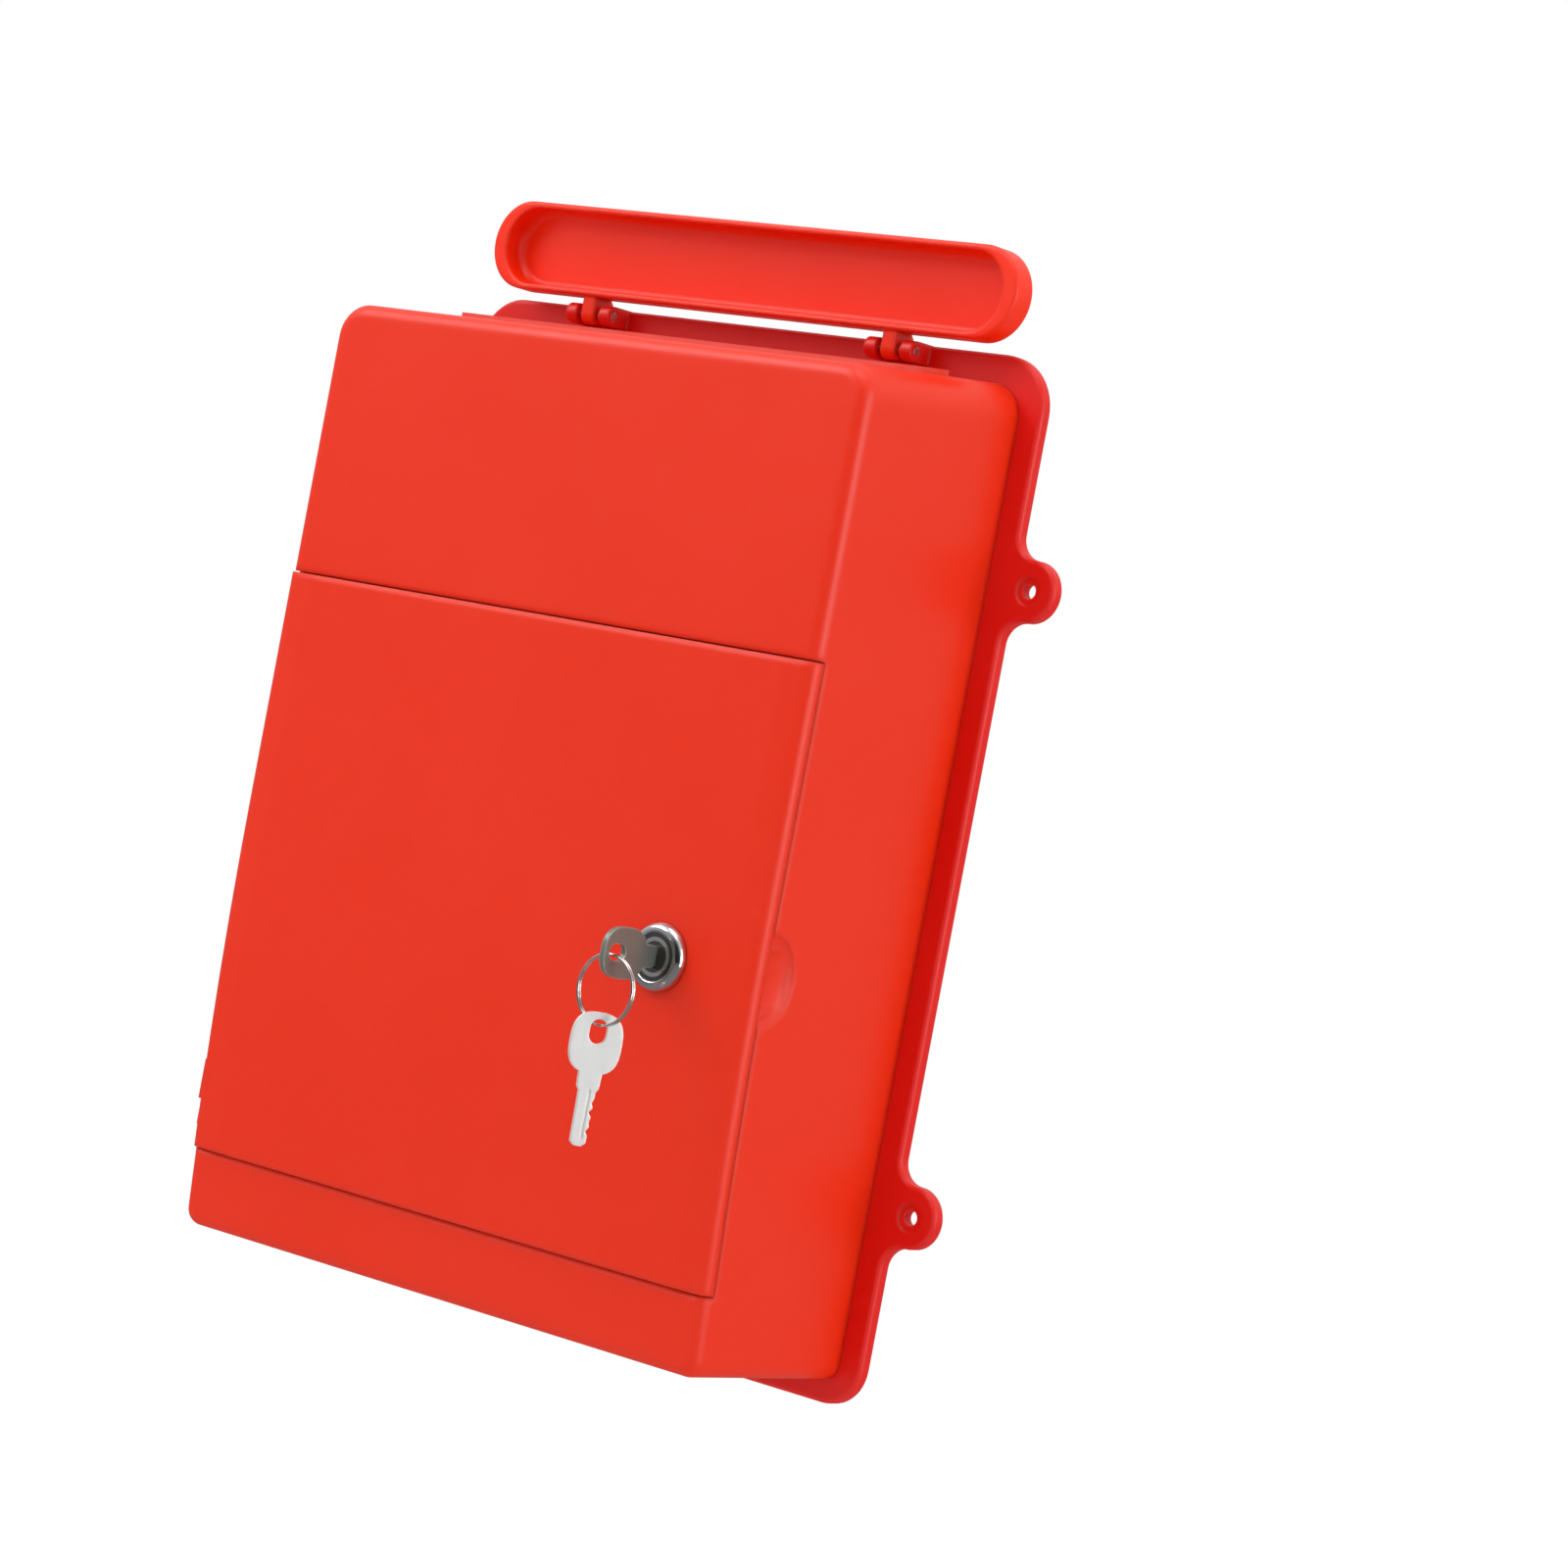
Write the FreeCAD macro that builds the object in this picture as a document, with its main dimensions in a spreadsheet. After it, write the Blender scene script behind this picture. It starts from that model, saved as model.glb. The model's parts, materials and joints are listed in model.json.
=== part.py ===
import FreeCAD, Part
import os
import re
import Sketcher
from FreeCAD import Placement, Rotation, Vector

# A lockable post box of moulded plastic that is screwed to a wall.
# Frame: +X to the viewer's right, +Y into the wall, +Z up, millimetres. The origin is the
# middle of the four fixing holes, on the wall's face.
# The box is a front shell joined to a back plate. A door, hinged at its left edge, closes the
# front, and a long flap, hinged at the back of the top, covers the letter slot.

# Driving dimensions: name, value, what it is
DIMENSIONS = [
    ("box_width", 242, "outer width of the shell and the door"),
    ("front_height", 330, "height of the shell at the front"),
    ("fixing_height", 165, "height of the fixing holes' middle above the shell's bottom"),
    ("box_depth", 86, "from the wall to the front of the fixed forehead"),
    ("top_rise", 8, "rise of the sloping top from the front to the wall"),
    ("wall", 2.5, "wall of every large moulding"),
    ("top_round", 12, "corner of the shell's section at the top"),
    ("low_round", 6, "corner of the shell's section at the bottom"),
    ("front_round", 4.6, "edge of the shell's front"),
    ("bow_radius", 1750, "radius of the front's lower part, which falls back"),
    ("bow_height", 150, "height above the bottom where the front starts to fall back"),
    ("door_low", 27.5, "door's lower edge above the shell's bottom"),
    ("door_height", 206, "height of the door"),
    ("door_proud", 1.5, "how far the door stands out from the forehead"),
    ("door_edge", 6.5, "depth of the door's edge, from its face to the seam"),
    ("door_round", 5, "rounding of the door's upright edges"),
    ("door_soft_edge", 12, "width of the soft fall towards each upright edge of the door"),
    ("door_soft_drop", 1.2, "depth of that fall"),
    ("seam", 0.5, "open seam round the door"),
    ("frame_margin", 16, "width of the frame behind the door's rim"),
    ("frame_round", 8, "corner of the door opening"),
    ("rib", 1.6, "thickness of a stiffening rib"),
    ("rib_place", 45, "the door's ribs, from the middle"),
    ("flange_thickness", 4.5, "thickness of the back plate"),
    ("flange_side", 9, "back plate beyond the shell's side"),
    ("flange_top", 9.5, "back plate above the shell's top"),
    ("flange_low", 8, "back plate below the shell's bottom"),
    ("flange_top_round", 19, "upper corner of the back plate"),
    ("flange_low_round", 14, "lower corner of the back plate"),
    ("flange_edge", 1, "chamfer of the back plate's front edge"),
    ("fixing_out", 8, "fixing holes beyond the back plate's side"),
    ("fixing_up", 211, "spacing of the fixing holes up"),
    ("fixing_bore", 5.2, "diameter of a fixing hole"),
    ("fixing_sink", 9.6, "diameter of the shallow seat round a fixing hole"),
    ("fixing_sink_depth", 0.8, "depth of that seat"),
    ("ear_radius", 10.5, "radius of a fixing ear"),
    ("ear_blend", 8, "fillet between an ear and the plate's edge"),
    ("rim_depth", 8, "locating rim of the back plate, inside the shell"),
    ("rim_thickness", 2, "thickness of that rim"),
    ("fit", 0.15, "gap of a locating fit"),
    ("post_side_inset", 14, "shell's screw posts, from its sides"),
    ("post_inset", 14, "shell's screw posts, from its top and bottom"),
    ("post_radius", 4.5, "radius of a screw post"),
    ("pilot_radius", 1.45, "radius of a post's pilot hole"),
    ("pilot_depth", 20, "depth of a pilot hole"),
    ("joint_clear", 0.4, "radial gap of a joint screw in the back plate"),
    ("joint_sink", 1.9, "depth of the countersink round a joint screw"),
    ("joint_head_gap", 0.15, "a joint screw's head below the plate's back"),
    ("cross_length", 3.6, "length of an arm of the cross in a screw's head"),
    ("cross_width", 0.8, "width of that arm"),
    ("cross_depth", 1.2, "depth of that cross"),
    ("slot_margin", 19, "shell's side to the end of the letter slot"),
    ("slot_width", 19, "width of the letter slot"),
    ("collar_wall", 2, "wall of the collar round the slot"),
    ("collar_height", 2, "height of that collar"),
    ("flap_inset", 1.5, "shell's side to the end of the flap"),
    ("flap_height", 32, "height of the flap"),
    ("flap_depth", 11, "depth of the flap's tray"),
    ("flap_wall", 2, "wall of the flap"),
    ("flap_back_edge", 2.2, "chamfer of the flap's back"),
    ("flap_foot", 1.8, "chamfer at the foot of the flap's rim, inside"),
    ("flap_rim_edge", 0.6, "chamfer of the flap's rim"),
    ("flap_lift", 6, "from the flap's hinge axis to its lower edge"),
    ("flap_behind", 6.5, "from the flap's hinge axis back to the tray's back"),
    ("flap_axis_out", 12, "flap's hinge axis in front of the wall"),
    ("flap_axis_drop", 3.5, "flap's hinge axis below the back plate's top edge"),
    ("flap_knuckle", 3.6, "radius of the knuckles on the flap's axis"),
    ("arm_place", 69, "flap's arms, from the middle"),
    ("arm_width", 5.4, "width of a flap arm"),
    ("lug_width", 4.6, "width of a lug of the back plate"),
    ("lug_gap", 2.8, "side gap between an arm and its lugs"),
    ("stop_gap", 0.3, "gap left by the open flap's stop"),
    ("flap_pin_radius", 1.5, "radius of the flap's pins"),
    ("hinge_back", 9.5, "door's hinge axis behind the door's face"),
    ("barrel_radius", 2.2, "radius of the door hinge's barrels"),
    ("barrel_clear", 0.4, "clearance round and between the barrels"),
    ("barrel_long", 14, "length of a barrel on the door"),
    ("barrel_short", 9, "length of a barrel on the shell"),
    ("hinge_pin_radius", 1, "radius of the door's hinge pins"),
    ("hinge_pin_head", 1.6, "radius and height of a hinge pin's head"),
    ("hinge_inset", 24, "middle of a hinge, from the door's upper or lower edge"),
    ("pin_hold", 0.02, "radial gap where a pin is held"),
    ("pin_run", 0.1, "radial gap where a pin turns"),
    ("lock_inset", 40, "lock's axis from the door's right edge"),
    ("lock_height", 130.5, "lock's axis above the shell's bottom"),
    ("bezel_radius", 11.5, "radius of the lock's bezel"),
    ("bezel_depth", 3.5, "bezel in front of the door"),
    ("bezel_slope", 1.75, "depth and width of the slope round the bezel's face"),
    ("lock_radius", 9.5, "radius of the lock's barrel"),
    ("lock_flat", 8, "half width across the barrel's flats"),
    ("lock_length", 21, "length of the barrel behind the bezel"),
    ("lock_boss", 15, "radius of the door's boss for the lock"),
    ("plug_radius", 6.2, "radius of the plug"),
    ("plug_head", 8, "radius of the plug's face"),
    ("plug_head_depth", 2, "thickness of the plug's face"),
    ("plug_run", 0.08, "radial gap round the plug"),
    ("plug_recess", 0.5, "plug's face behind the bezel's face"),
    ("wafer_first", 3, "first wafer slot behind the door's face"),
    ("wafer_pitch", 3, "spacing of the wafers"),
    ("wafer_slot", 1.2, "width of a wafer slot"),
    ("wafer_clear", 0.1, "gap round a wafer in its slot"),
    ("tail_half", 3.4, "half width of the plug's square tail"),
    ("tail_bore_depth", 6, "depth of the threaded hole in the tail"),
    ("cam_screw_radius", 1.25, "radius of the screw in the tail"),
    ("cam_screw_head", 3, "radius of that screw's head"),
    ("cam_screw_head_height", 2, "height of that head"),
    ("cam_screw_slot", 0.8, "width and depth of the slot in that head"),
    ("cam_washer_thickness", 0.8, "thickness of the washer under that screw"),
    ("cam_thickness", 2, "thickness of the cam"),
    ("cam_reach", 33, "from the lock's axis to the cam's tip"),
    ("cam_half", 6.5, "half width of the cam"),
    ("catch_gap", 0.6, "gap between the cam and the catch"),
    ("catch_height", 24, "height of the catch"),
    ("nut_half", 12, "half width across the lock nut's flats"),
    ("nut_thickness", 4, "thickness of the lock nut"),
    ("nut_washer", 0.8, "thickness of the washer under the nut"),
    ("key_thickness", 2, "thickness of a key"),
    ("blade_half", 2.95, "half height of a key's blade"),
    ("blade_length", 18.5, "length of a key's blade"),
    ("bow_width", 19.5, "width of a key's bow"),
    ("bow_length", 25, "length of a key's bow and neck"),
    ("key_neck_half", 4.15, "half height of a key's neck"),
    ("key_hole_radius", 2.8, "end radius of the long hole in a bow"),
    ("key_hole_length", 8, "length of that hole, along the key"),
    ("key_hole_rim", 2.2, "end of the bow to that hole"),
    ("keyway_clear", 0.15, "gap round a blade in the keyway"),
    ("key_turn_angle", 50, "heading of the hanging key's face"),
    ("ring_radius", 11.2, "radius of the key ring's middle line"),
    ("ring_wire", 0.9, "radius of the ring's wire"),
    ("hang_gap", 0.7, "gap between the ring and the edge of a key's hole"),
    ("key_gap", 0.3, "gap between the inserted key's shoulder and the plug"),
    ("screw_length", 20, "length of a screw that joins the plate to the shell"),
    ("scoop_length", 31, "height of the finger scoop"),
    ("scoop_width", 14, "width of the finger scoop"),
    ("scoop_depth", 3, "depth of the finger scoop"),
]

doc = FreeCAD.newDocument("post_box")
sheet = doc.addObject("Spreadsheet::Sheet", "Sizes")
for row, (alias, value, note) in enumerate(DIMENSIONS, start=1):
    sheet.set("A%d" % row, alias)
    sheet.set("B%d" % row, str(value))
    sheet.set("C%d" % row, note)
    sheet.setAlias("B%d" % row, alias)
doc.recompute()
NAMES = {alias for alias, value, note in DIMENSIONS}


def bind(text):
    """An expression of the sheet: each dimension's name becomes its cell."""
    return re.sub(r"[a-z_]+", lambda word: "Sizes." + word[0] if word[0] in NAMES else word[0], text)


def number(text):
    """The present value of such an expression."""
    value = sheet.evalExpression(bind(text))
    return float(getattr(value, "Value", value))


# Places that several sub-parts share, as expressions of the driving dimensions
BOTTOM = "(-fixing_height)"
TOP = "(front_height - fixing_height)"
TOP_BACK = "(front_height - fixing_height + top_rise * (box_depth - flange_thickness) / box_depth)"
SIDE = "(box_width / 2)"
DOOR_FACE = "(box_depth + door_proud)"
DOOR_LOW = "(door_low - fixing_height)"
DOOR_TOP = "(door_low + door_height - fixing_height)"
BOW_START = "(bow_height - fixing_height)"
PLATE_TOP = "(front_height - fixing_height + top_rise + flange_top)"
SLOPE = "atan(top_rise / box_depth)"
FLAP_AXIS_UP = "(front_height - fixing_height + top_rise + flange_top - flap_axis_drop)"
HINGE_OUT = "(box_depth + door_proud - hinge_back)"
LOCK_UP = "(lock_height - fixing_height)"
LOCK_OUT = "(box_width / 2 - lock_inset)"
FIXING_OUT = "(box_width / 2 + flange_side + fixing_out)"
POST_OUT = "(box_width / 2 - post_side_inset)"
HINGE_LOW = "(door_low - fixing_height + hinge_inset)"
HINGE_HIGH = "(door_low + door_height - fixing_height - hinge_inset)"
INNER = "(box_width / 2 - wall)"


def front_at(inset, height):
    """Y of the bowed front, an inset behind the door's face, at one height of its lower part."""
    radius = "(bow_radius - %s)" % inset
    return "(bow_radius - %s - sqrt(%s ^ 2 - (%s - %s) ^ 2))" % (
        DOOR_FACE, radius, height, BOW_START)


# Helpers that make bound features

def new_body(name):
    body = doc.addObject("PartDesign::Body", name)
    body.Label = name
    return body


def set_place(feature, x, y, z):
    """Bind the place of a feature or body."""
    for axis, text in (("x", x), ("y", y), ("z", z)):
        feature.setExpression(".Placement.Base." + axis, bind(text))


def sketch_on(body, role, name, lift=None):
    """A sketch on one of the body's own origin planes, lifted along its normal."""
    sketch = body.newObject("Sketcher::SketchObject", name)
    plane = [item for item in body.Origin.OriginFeatures if item.Role == role][0]
    sketch.AttachmentSupport = [(plane, "")]
    sketch.MapMode = "FlatFace"
    if lift is not None:
        sketch.setExpression(".AttachmentOffset.Base.z", bind(lift))
    return sketch


def pin_point(sketch, geometry, vertex, across, up):
    """Bind one point of a sketch to the origin by its two distances."""
    for text, kind, axis in ((across, "DistanceX", -2), (up, "DistanceY", -1)):
        if text == "0":
            sketch.addConstraint(Sketcher.Constraint("PointOnObject", geometry, vertex, axis))
        else:
            constraint = Sketcher.Constraint(kind, -1, 1, geometry, vertex, number(text))
            index = sketch.addConstraint(constraint)
            sketch.setExpression("Constraints[%d]" % index, bind(text))


def bind_radius(sketch, geometry, text):
    index = sketch.addConstraint(Sketcher.Constraint("Radius", geometry, number(text)))
    sketch.setExpression("Constraints[%d]" % index, bind(text))


def add_outline(sketch, corners):
    """A closed outline. Each corner is (across, up), or (across, up, radius, side) where the
    edge that leaves it is an arc: side is +1 where the arc turns left and -1 where it turns
    right."""
    spots = [Vector(number(corner[0]), number(corner[1]), 0) for corner in corners]
    ends = []
    for index, corner in enumerate(corners):
        start, finish = spots[index], spots[(index + 1) % len(spots)]
        if len(corner) == 2:
            geometry = sketch.addGeometry(Part.LineSegment(start, finish), False)
            ends.append((geometry, 1, 2))
            continue
        radius, side = number(corner[2]), corner[3]
        chord = finish - start
        middle = (start + finish) * 0.5
        reach = max(radius ** 2 - (chord.Length / 2) ** 2, 0) ** 0.5
        sideways = Vector(-chord.y, chord.x, 0).normalize()
        centre = middle + sideways * reach * side
        circle = Part.Circle(centre, Vector(0, 0, 1), radius)
        first, last = (start, finish) if side > 0 else (finish, start)
        arc = Part.ArcOfCircle(circle, circle.parameter(first), circle.parameter(last))
        geometry = sketch.addGeometry(arc, False)
        bind_radius(sketch, geometry, corner[2])
        ends.append((geometry, 1, 2) if side > 0 else (geometry, 2, 1))
    for index, corner in enumerate(corners):
        geometry, begin, end = ends[index]
        before = ends[index - 1]
        sketch.addConstraint(Sketcher.Constraint("Coincident", before[0], before[2], geometry, begin))
        pin_point(sketch, geometry, begin, corner[0], corner[1])
    return sketch


def add_rounded_frame(sketch, half, low, top, low_radius, top_radius):
    """A rectangle about the sketch's upright axis, with rounded lower and upper corners."""
    return add_outline(sketch, [
        ("-(%s - %s)" % (half, low_radius), low),
        ("%s - %s" % (half, low_radius), low, low_radius, 1),
        (half, "%s + %s" % (low, low_radius)),
        (half, "%s - %s" % (top, top_radius), top_radius, 1),
        ("%s - %s" % (half, top_radius), top),
        ("-(%s - %s)" % (half, top_radius), top, top_radius, 1),
        ("-" + half, "%s - %s" % (top, top_radius)),
        ("-" + half, "%s + %s" % (low, low_radius), low_radius, 1),
    ])


def add_circle(sketch, across, up, radius):
    circle = Part.Circle(Vector(number(across), number(up), 0), Vector(0, 0, 1), number(radius))
    geometry = sketch.addGeometry(circle, False)
    pin_point(sketch, geometry, 3, across, up)
    bind_radius(sketch, geometry, radius)
    return sketch


def add_stadium(sketch, up, half_length, radius, across="0"):
    """A level stadium about a point: two half circles joined by straight lines."""
    places = ["%s + (%s - %s)" % (across, half_length, radius), "%s - (%s - %s)" % (across, half_length, radius)]
    end, start = (number(place) for place in places)
    middle, size = number(up), number(radius)
    normal = Vector(0, 0, 1)
    quarter = 1.5707963267948966
    right = Part.ArcOfCircle(Part.Circle(Vector(end, middle, 0), normal, size), -quarter, quarter)
    left = Part.ArcOfCircle(Part.Circle(Vector(start, middle, 0), normal, size), quarter, 3 * quarter)
    high = Part.LineSegment(Vector(end, middle + size, 0), Vector(start, middle + size, 0))
    low = Part.LineSegment(Vector(start, middle - size, 0), Vector(end, middle - size, 0))
    first = sketch.addGeometry([right, high, left, low], False)[0]
    for geometry in range(first, first + 4):
        following = first + (geometry - first + 1) % 4
        sketch.addConstraint(Sketcher.Constraint("Tangent", geometry, 2, following, 1))
    pin_point(sketch, first, 3, places[0], up)
    pin_point(sketch, first + 2, 3, places[1], up)
    bind_radius(sketch, first, radius)
    sketch.addConstraint(Sketcher.Constraint("Equal", first, first + 2))
    return sketch


def extrude(body, kind, sketch, name, length, both_ways=False, turned=False):
    """A Pad or a Pocket of a sketch."""
    feature = body.newObject("PartDesign::" + kind, name)
    feature.Profile = sketch
    feature.setExpression("Length", bind(length))
    if both_ways:
        feature.Midplane = True
    feature.Reversed = turned
    sketch.Visibility = False
    doc.recompute()
    return feature


def add_box(body, name, corner, size, kind="Additive"):
    feature = body.newObject("PartDesign::%sBox" % kind, name)
    for side, text in zip(("Length", "Width", "Height"), size):
        feature.setExpression(side, bind(text))
    set_place(feature, *corner)
    doc.recompute()
    return feature


AXIS_TURN = {
    "X": Rotation(Vector(0, 1, 0), 90),
    "Y": Rotation(Vector(1, 0, 0), -90),
    "Z": Rotation(),
}


def add_rod(body, name, base, axis, radius, length, kind="Additive"):
    """A cylinder from its base along +X, +Y or +Z."""
    feature = body.newObject("PartDesign::%sCylinder" % kind, name)
    feature.setExpression("Radius", bind(radius))
    feature.setExpression("Height", bind(length))
    feature.Placement = Placement(Vector(), AXIS_TURN[axis])
    set_place(feature, *base)
    doc.recompute()
    return feature


def revolve(body, sketch, name):
    """A full turn of a YZ sketch about the body's Y axis."""
    feature = body.newObject("PartDesign::Revolution", name)
    feature.Profile = sketch
    feature.ReferenceAxis = (sketch, ["H_Axis"])
    feature.Angle = 360
    sketch.Visibility = False
    doc.recompute()
    return feature


def edge_names(feature, test):
    """Names of the edges whose end points and middle all pass a test of x, y and z."""
    names = []
    for index, edge in enumerate(feature.Shape.Edges, start=1):
        middle = edge.valueAt((edge.FirstParameter + edge.LastParameter) / 2)
        spots = [vertex.Point for vertex in edge.Vertexes] + [middle]
        if all(test(spot.x, spot.y, spot.z) for spot in spots):
            names.append("Edge%d" % index)
    return names


def runs_along(edge, axis):
    """Whether a straight edge runs along X, Y or Z."""
    if len(edge.Vertexes) != 2:
        return False
    run = edge.Vertexes[1].Point - edge.Vertexes[0].Point
    part = {"X": run.x, "Y": run.y, "Z": run.z}[axis]
    return abs(abs(part) - run.Length) < 1e-6


def round_edges(body, base, name, radius, test, upright=None):
    """A fillet of the edges that pass a test and, where asked, run along one axis."""
    names = edge_names(base, test)
    if upright is not None:
        names = [name for name in names if runs_along(base.Shape.getElement(name), upright)]
    feature = body.newObject("PartDesign::Fillet", name)
    feature.Base = (base, names)
    feature.setExpression("Radius", bind(radius))
    doc.recompute()
    return feature


def bevel_edges(body, base, name, size, test):
    """An even chamfer of the edges that pass a test."""
    feature = body.newObject("PartDesign::Chamfer", name)
    feature.Base = (base, edge_names(base, test))
    feature.setExpression("Size", bind(size))
    doc.recompute()
    return feature


def near(value, text, slack=0.02):
    return abs(value - number(text)) < slack


# Sub-parts

def make_back_plate():
    """The plate that lies on the wall: flange, four ears, locating rim and flap lugs."""
    body = new_body("back_plate")
    half = "(box_width / 2 + flange_side)"
    low = "(-fixing_height - flange_low)"
    outline = add_rounded_frame(sketch_on(body, "XZ_Plane", "plate_outline"),
                                half, low, PLATE_TOP, "flange_low_round", "flange_top_round")
    extrude(body, "Pad", outline, "plate", "flange_thickness")
    for side in ("", "-"):
        for level in ("", "-"):
            x, z = side + FIXING_OUT, level + "fixing_up / 2"
            name = "ear_%s_%s" % ("left" if side else "right", "low" if level else "high")
            plate = add_rod(body, name, (x, "-flange_thickness", z), "Y",
                            "ear_radius", "flange_thickness")
    notch = number("sqrt(ear_radius ^ 2 - fixing_out ^ 2)")
    plate = round_edges(body, plate, "ear_blends", "ear_blend",
                        lambda x, y, z: near(abs(x), half)
                        and abs(abs(abs(z) - number("fixing_up / 2")) - notch) < 0.05)
    bevel_edges(body, plate, "plate_edge", "flange_edge",
                lambda x, y, z: near(y, "-flange_thickness"))
    holes = sketch_on(body, "XZ_Plane", "fixing_holes")
    seats = sketch_on(body, "XZ_Plane", "fixing_seats", "flange_thickness")
    for side in ("", "-"):
        for level in ("", "-"):
            spot = (side + FIXING_OUT, level + "fixing_up / 2")
            add_circle(holes, spot[0], spot[1], "fixing_bore / 2")
            add_circle(seats, spot[0], spot[1], "fixing_sink / 2")
    extrude(body, "Pocket", holes, "fixing_bores", "flange_thickness", turned=True)
    extrude(body, "Pocket", seats, "fixing_sinks", "fixing_sink_depth")
    # The locating rim stands inside the shell's mouth, a fit away from its walls.
    reach = "(box_width / 2 - wall - fit)"
    rim_low = "(-fixing_height + wall + fit)"
    rim_top = "(%s - wall - top_rise * rim_depth / box_depth - fit)" % TOP_BACK
    rim = add_rounded_frame(sketch_on(body, "XZ_Plane", "rim_outline", "flange_thickness"),
                            reach, rim_low, rim_top, "(low_round - wall)", "(top_round - wall)")
    extrude(body, "Pad", rim, "rim_block", "rim_depth")
    well = add_rounded_frame(sketch_on(body, "XZ_Plane", "rim_well_outline", "flange_thickness + rim_depth"),
                             "(%s - rim_thickness)" % reach, "(%s + rim_thickness)" % rim_low,
                             "(%s - rim_thickness)" % rim_top, "(low_round - wall - rim_thickness)",
                             "(top_round - wall - rim_thickness)")
    extrude(body, "Pocket", well, "rim_well", "rim_depth + flange_thickness - wall")
    for side in ("", "-"):
        for level, z in (("high", "%s - post_inset" % TOP), ("low", "%s + post_inset" % BOTTOM)):
            name = "joint_hole_%s_%s" % ("left" if side else "right", level)
            place = (side + POST_OUT, "-wall", z)
            add_rod(body, name, place, "Y", "pilot_radius + joint_clear", "wall", "Subtractive")
            sink = body.newObject("PartDesign::SubtractiveCone", name + "_sink")
            sink.setExpression("Radius1", bind("pilot_radius + joint_clear"))
            sink.setExpression("Radius2", bind("pilot_radius + joint_clear + joint_sink"))
            sink.setExpression("Height", bind("joint_sink"))
            sink.Placement = Placement(Vector(), AXIS_TURN["Y"])
            set_place(sink, side + POST_OUT, "-joint_sink", z)
            doc.recompute()
    # Two lugs stand at each side of each flap arm.
    for side in ("", "-"):
        for name, place in (("inner", "(arm_place - arm_width / 2 - lug_gap - lug_width)"),
                            ("outer", "(arm_place + arm_width / 2 + lug_gap)")):
            start = place if side == "" else "(-%s - lug_width)" % place
            label = "%s_lug_%s" % (name, "left" if side else "right")
            low_z = "%s - flap_knuckle" % FLAP_AXIS_UP
            add_box(body, label, (start, "-flap_axis_out", low_z),
                    ("lug_width", "flap_axis_out - flange_thickness / 2", "2 * flap_knuckle"))
            add_rod(body, label + "_nose", (start, "-flap_axis_out", FLAP_AXIS_UP), "X",
                    "flap_knuckle", "lug_width")
    add_rod(body, "flap_pin_bore", ("-box_width / 2", "-flap_axis_out", FLAP_AXIS_UP), "X",
            "flap_pin_radius + pin_hold", "box_width", "Subtractive")
    return body


def make_front_shell():
    """The moulded box: sloping top with the letter slot, sides, bottom, forehead, the strip
    below the door and the frame behind it."""
    body = new_body("front_shell")
    step_low = "(%s - seam)" % DOOR_LOW
    step_top = "(%s + seam)" % DOOR_TOP
    profile = sketch_on(body, "YZ_Plane", "shell_profile")
    add_outline(profile, [
        ("-flange_thickness", BOTTOM),
        (front_at("door_proud", BOTTOM), BOTTOM, "bow_radius - door_proud", -1),
        (front_at("door_proud", step_low), step_low),
        (front_at("door_edge", step_low), step_low, "bow_radius - door_edge", -1),
        ("door_edge - %s" % DOOR_FACE, BOW_START),
        ("door_edge - %s" % DOOR_FACE, step_top),
        ("-box_depth", step_top),
        ("-box_depth", TOP),
        ("-flange_thickness", TOP_BACK),
    ])
    block = extrude(body, "Pad", profile, "shell_block", "box_width", both_ways=True)
    block = round_edges(body, block, "shell_top_corners", "top_round",
                        lambda x, y, z: near(abs(x), SIDE) and z > number(TOP) - 0.1)
    block = round_edges(body, block, "shell_low_corners", "low_round",
                        lambda x, y, z: near(abs(x), SIDE) and near(z, BOTTOM))
    block = round_edges(body, block, "forehead_edge", "front_round",
                        lambda x, y, z: near(y, "-box_depth") and z > number(step_top) - 0.1
                        and not (near(z, step_top) and abs(x) < number(SIDE) - 0.1))

    def on_strip(x, y, z):
        level = min(z, number(step_low))
        front = number(front_at("door_proud", "(%.6f)" % level))
        return z < number(step_low) + 0.01 and abs(y - front) < 0.02 and not (
            near(z, step_low) and abs(x) < number(SIDE) - 0.1)
    block = round_edges(body, block, "strip_edge", "front_round", on_strip)
    back = [index for index, face in enumerate(block.Shape.Faces, start=1)
            if near(face.CenterOfMass.y, "-flange_thickness")]
    hollow = body.newObject("PartDesign::Thickness", "shell_hollow")
    hollow.Base = (block, ["Face%d" % back[0]])
    hollow.setExpression("Value", bind("wall"))
    hollow.Reversed = True
    hollow.Join = 0
    doc.recompute()
    opening = add_box(body, "door_opening",
                      ("-%s + frame_margin" % SIDE, "-box_depth", "%s + frame_margin" % DOOR_LOW),
                      ("box_width - 2 * frame_margin", "box_depth * 0.3", "door_height - 2 * frame_margin"),
                      "Subtractive")
    round_edges(body, opening, "opening_corners", "frame_round",
                lambda x, y, z: near(abs(x), "%s - frame_margin" % SIDE)
                and (near(z, "%s + frame_margin" % DOOR_LOW) or near(z, "%s - frame_margin" % DOOR_TOP)))
    # Screw posts run from the floor of the back plate to the front walls.
    for side in ("", "-"):
        for level, z, front in (("high", "%s - post_inset" % TOP, "box_depth - wall / 2"),
                                ("low", "%s + post_inset" % BOTTOM,
                                 "-%s - wall / 2" % front_at("door_proud", BOTTOM))):
            name = "post_%s_%s" % ("left" if side else "right", level)
            x = side + POST_OUT
            add_rod(body, name, (x, "-(%s)" % front, z), "Y", "post_radius", "(%s) - wall" % front)
            add_rod(body, name + "_pilot", (x, "-wall - pilot_depth", z), "Y",
                    "pilot_radius", "pilot_depth", "Subtractive")
    make_letter_slot(body)
    make_shell_hinge(body)
    make_scoop(body)
    make_catch(body)
    return body


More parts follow.
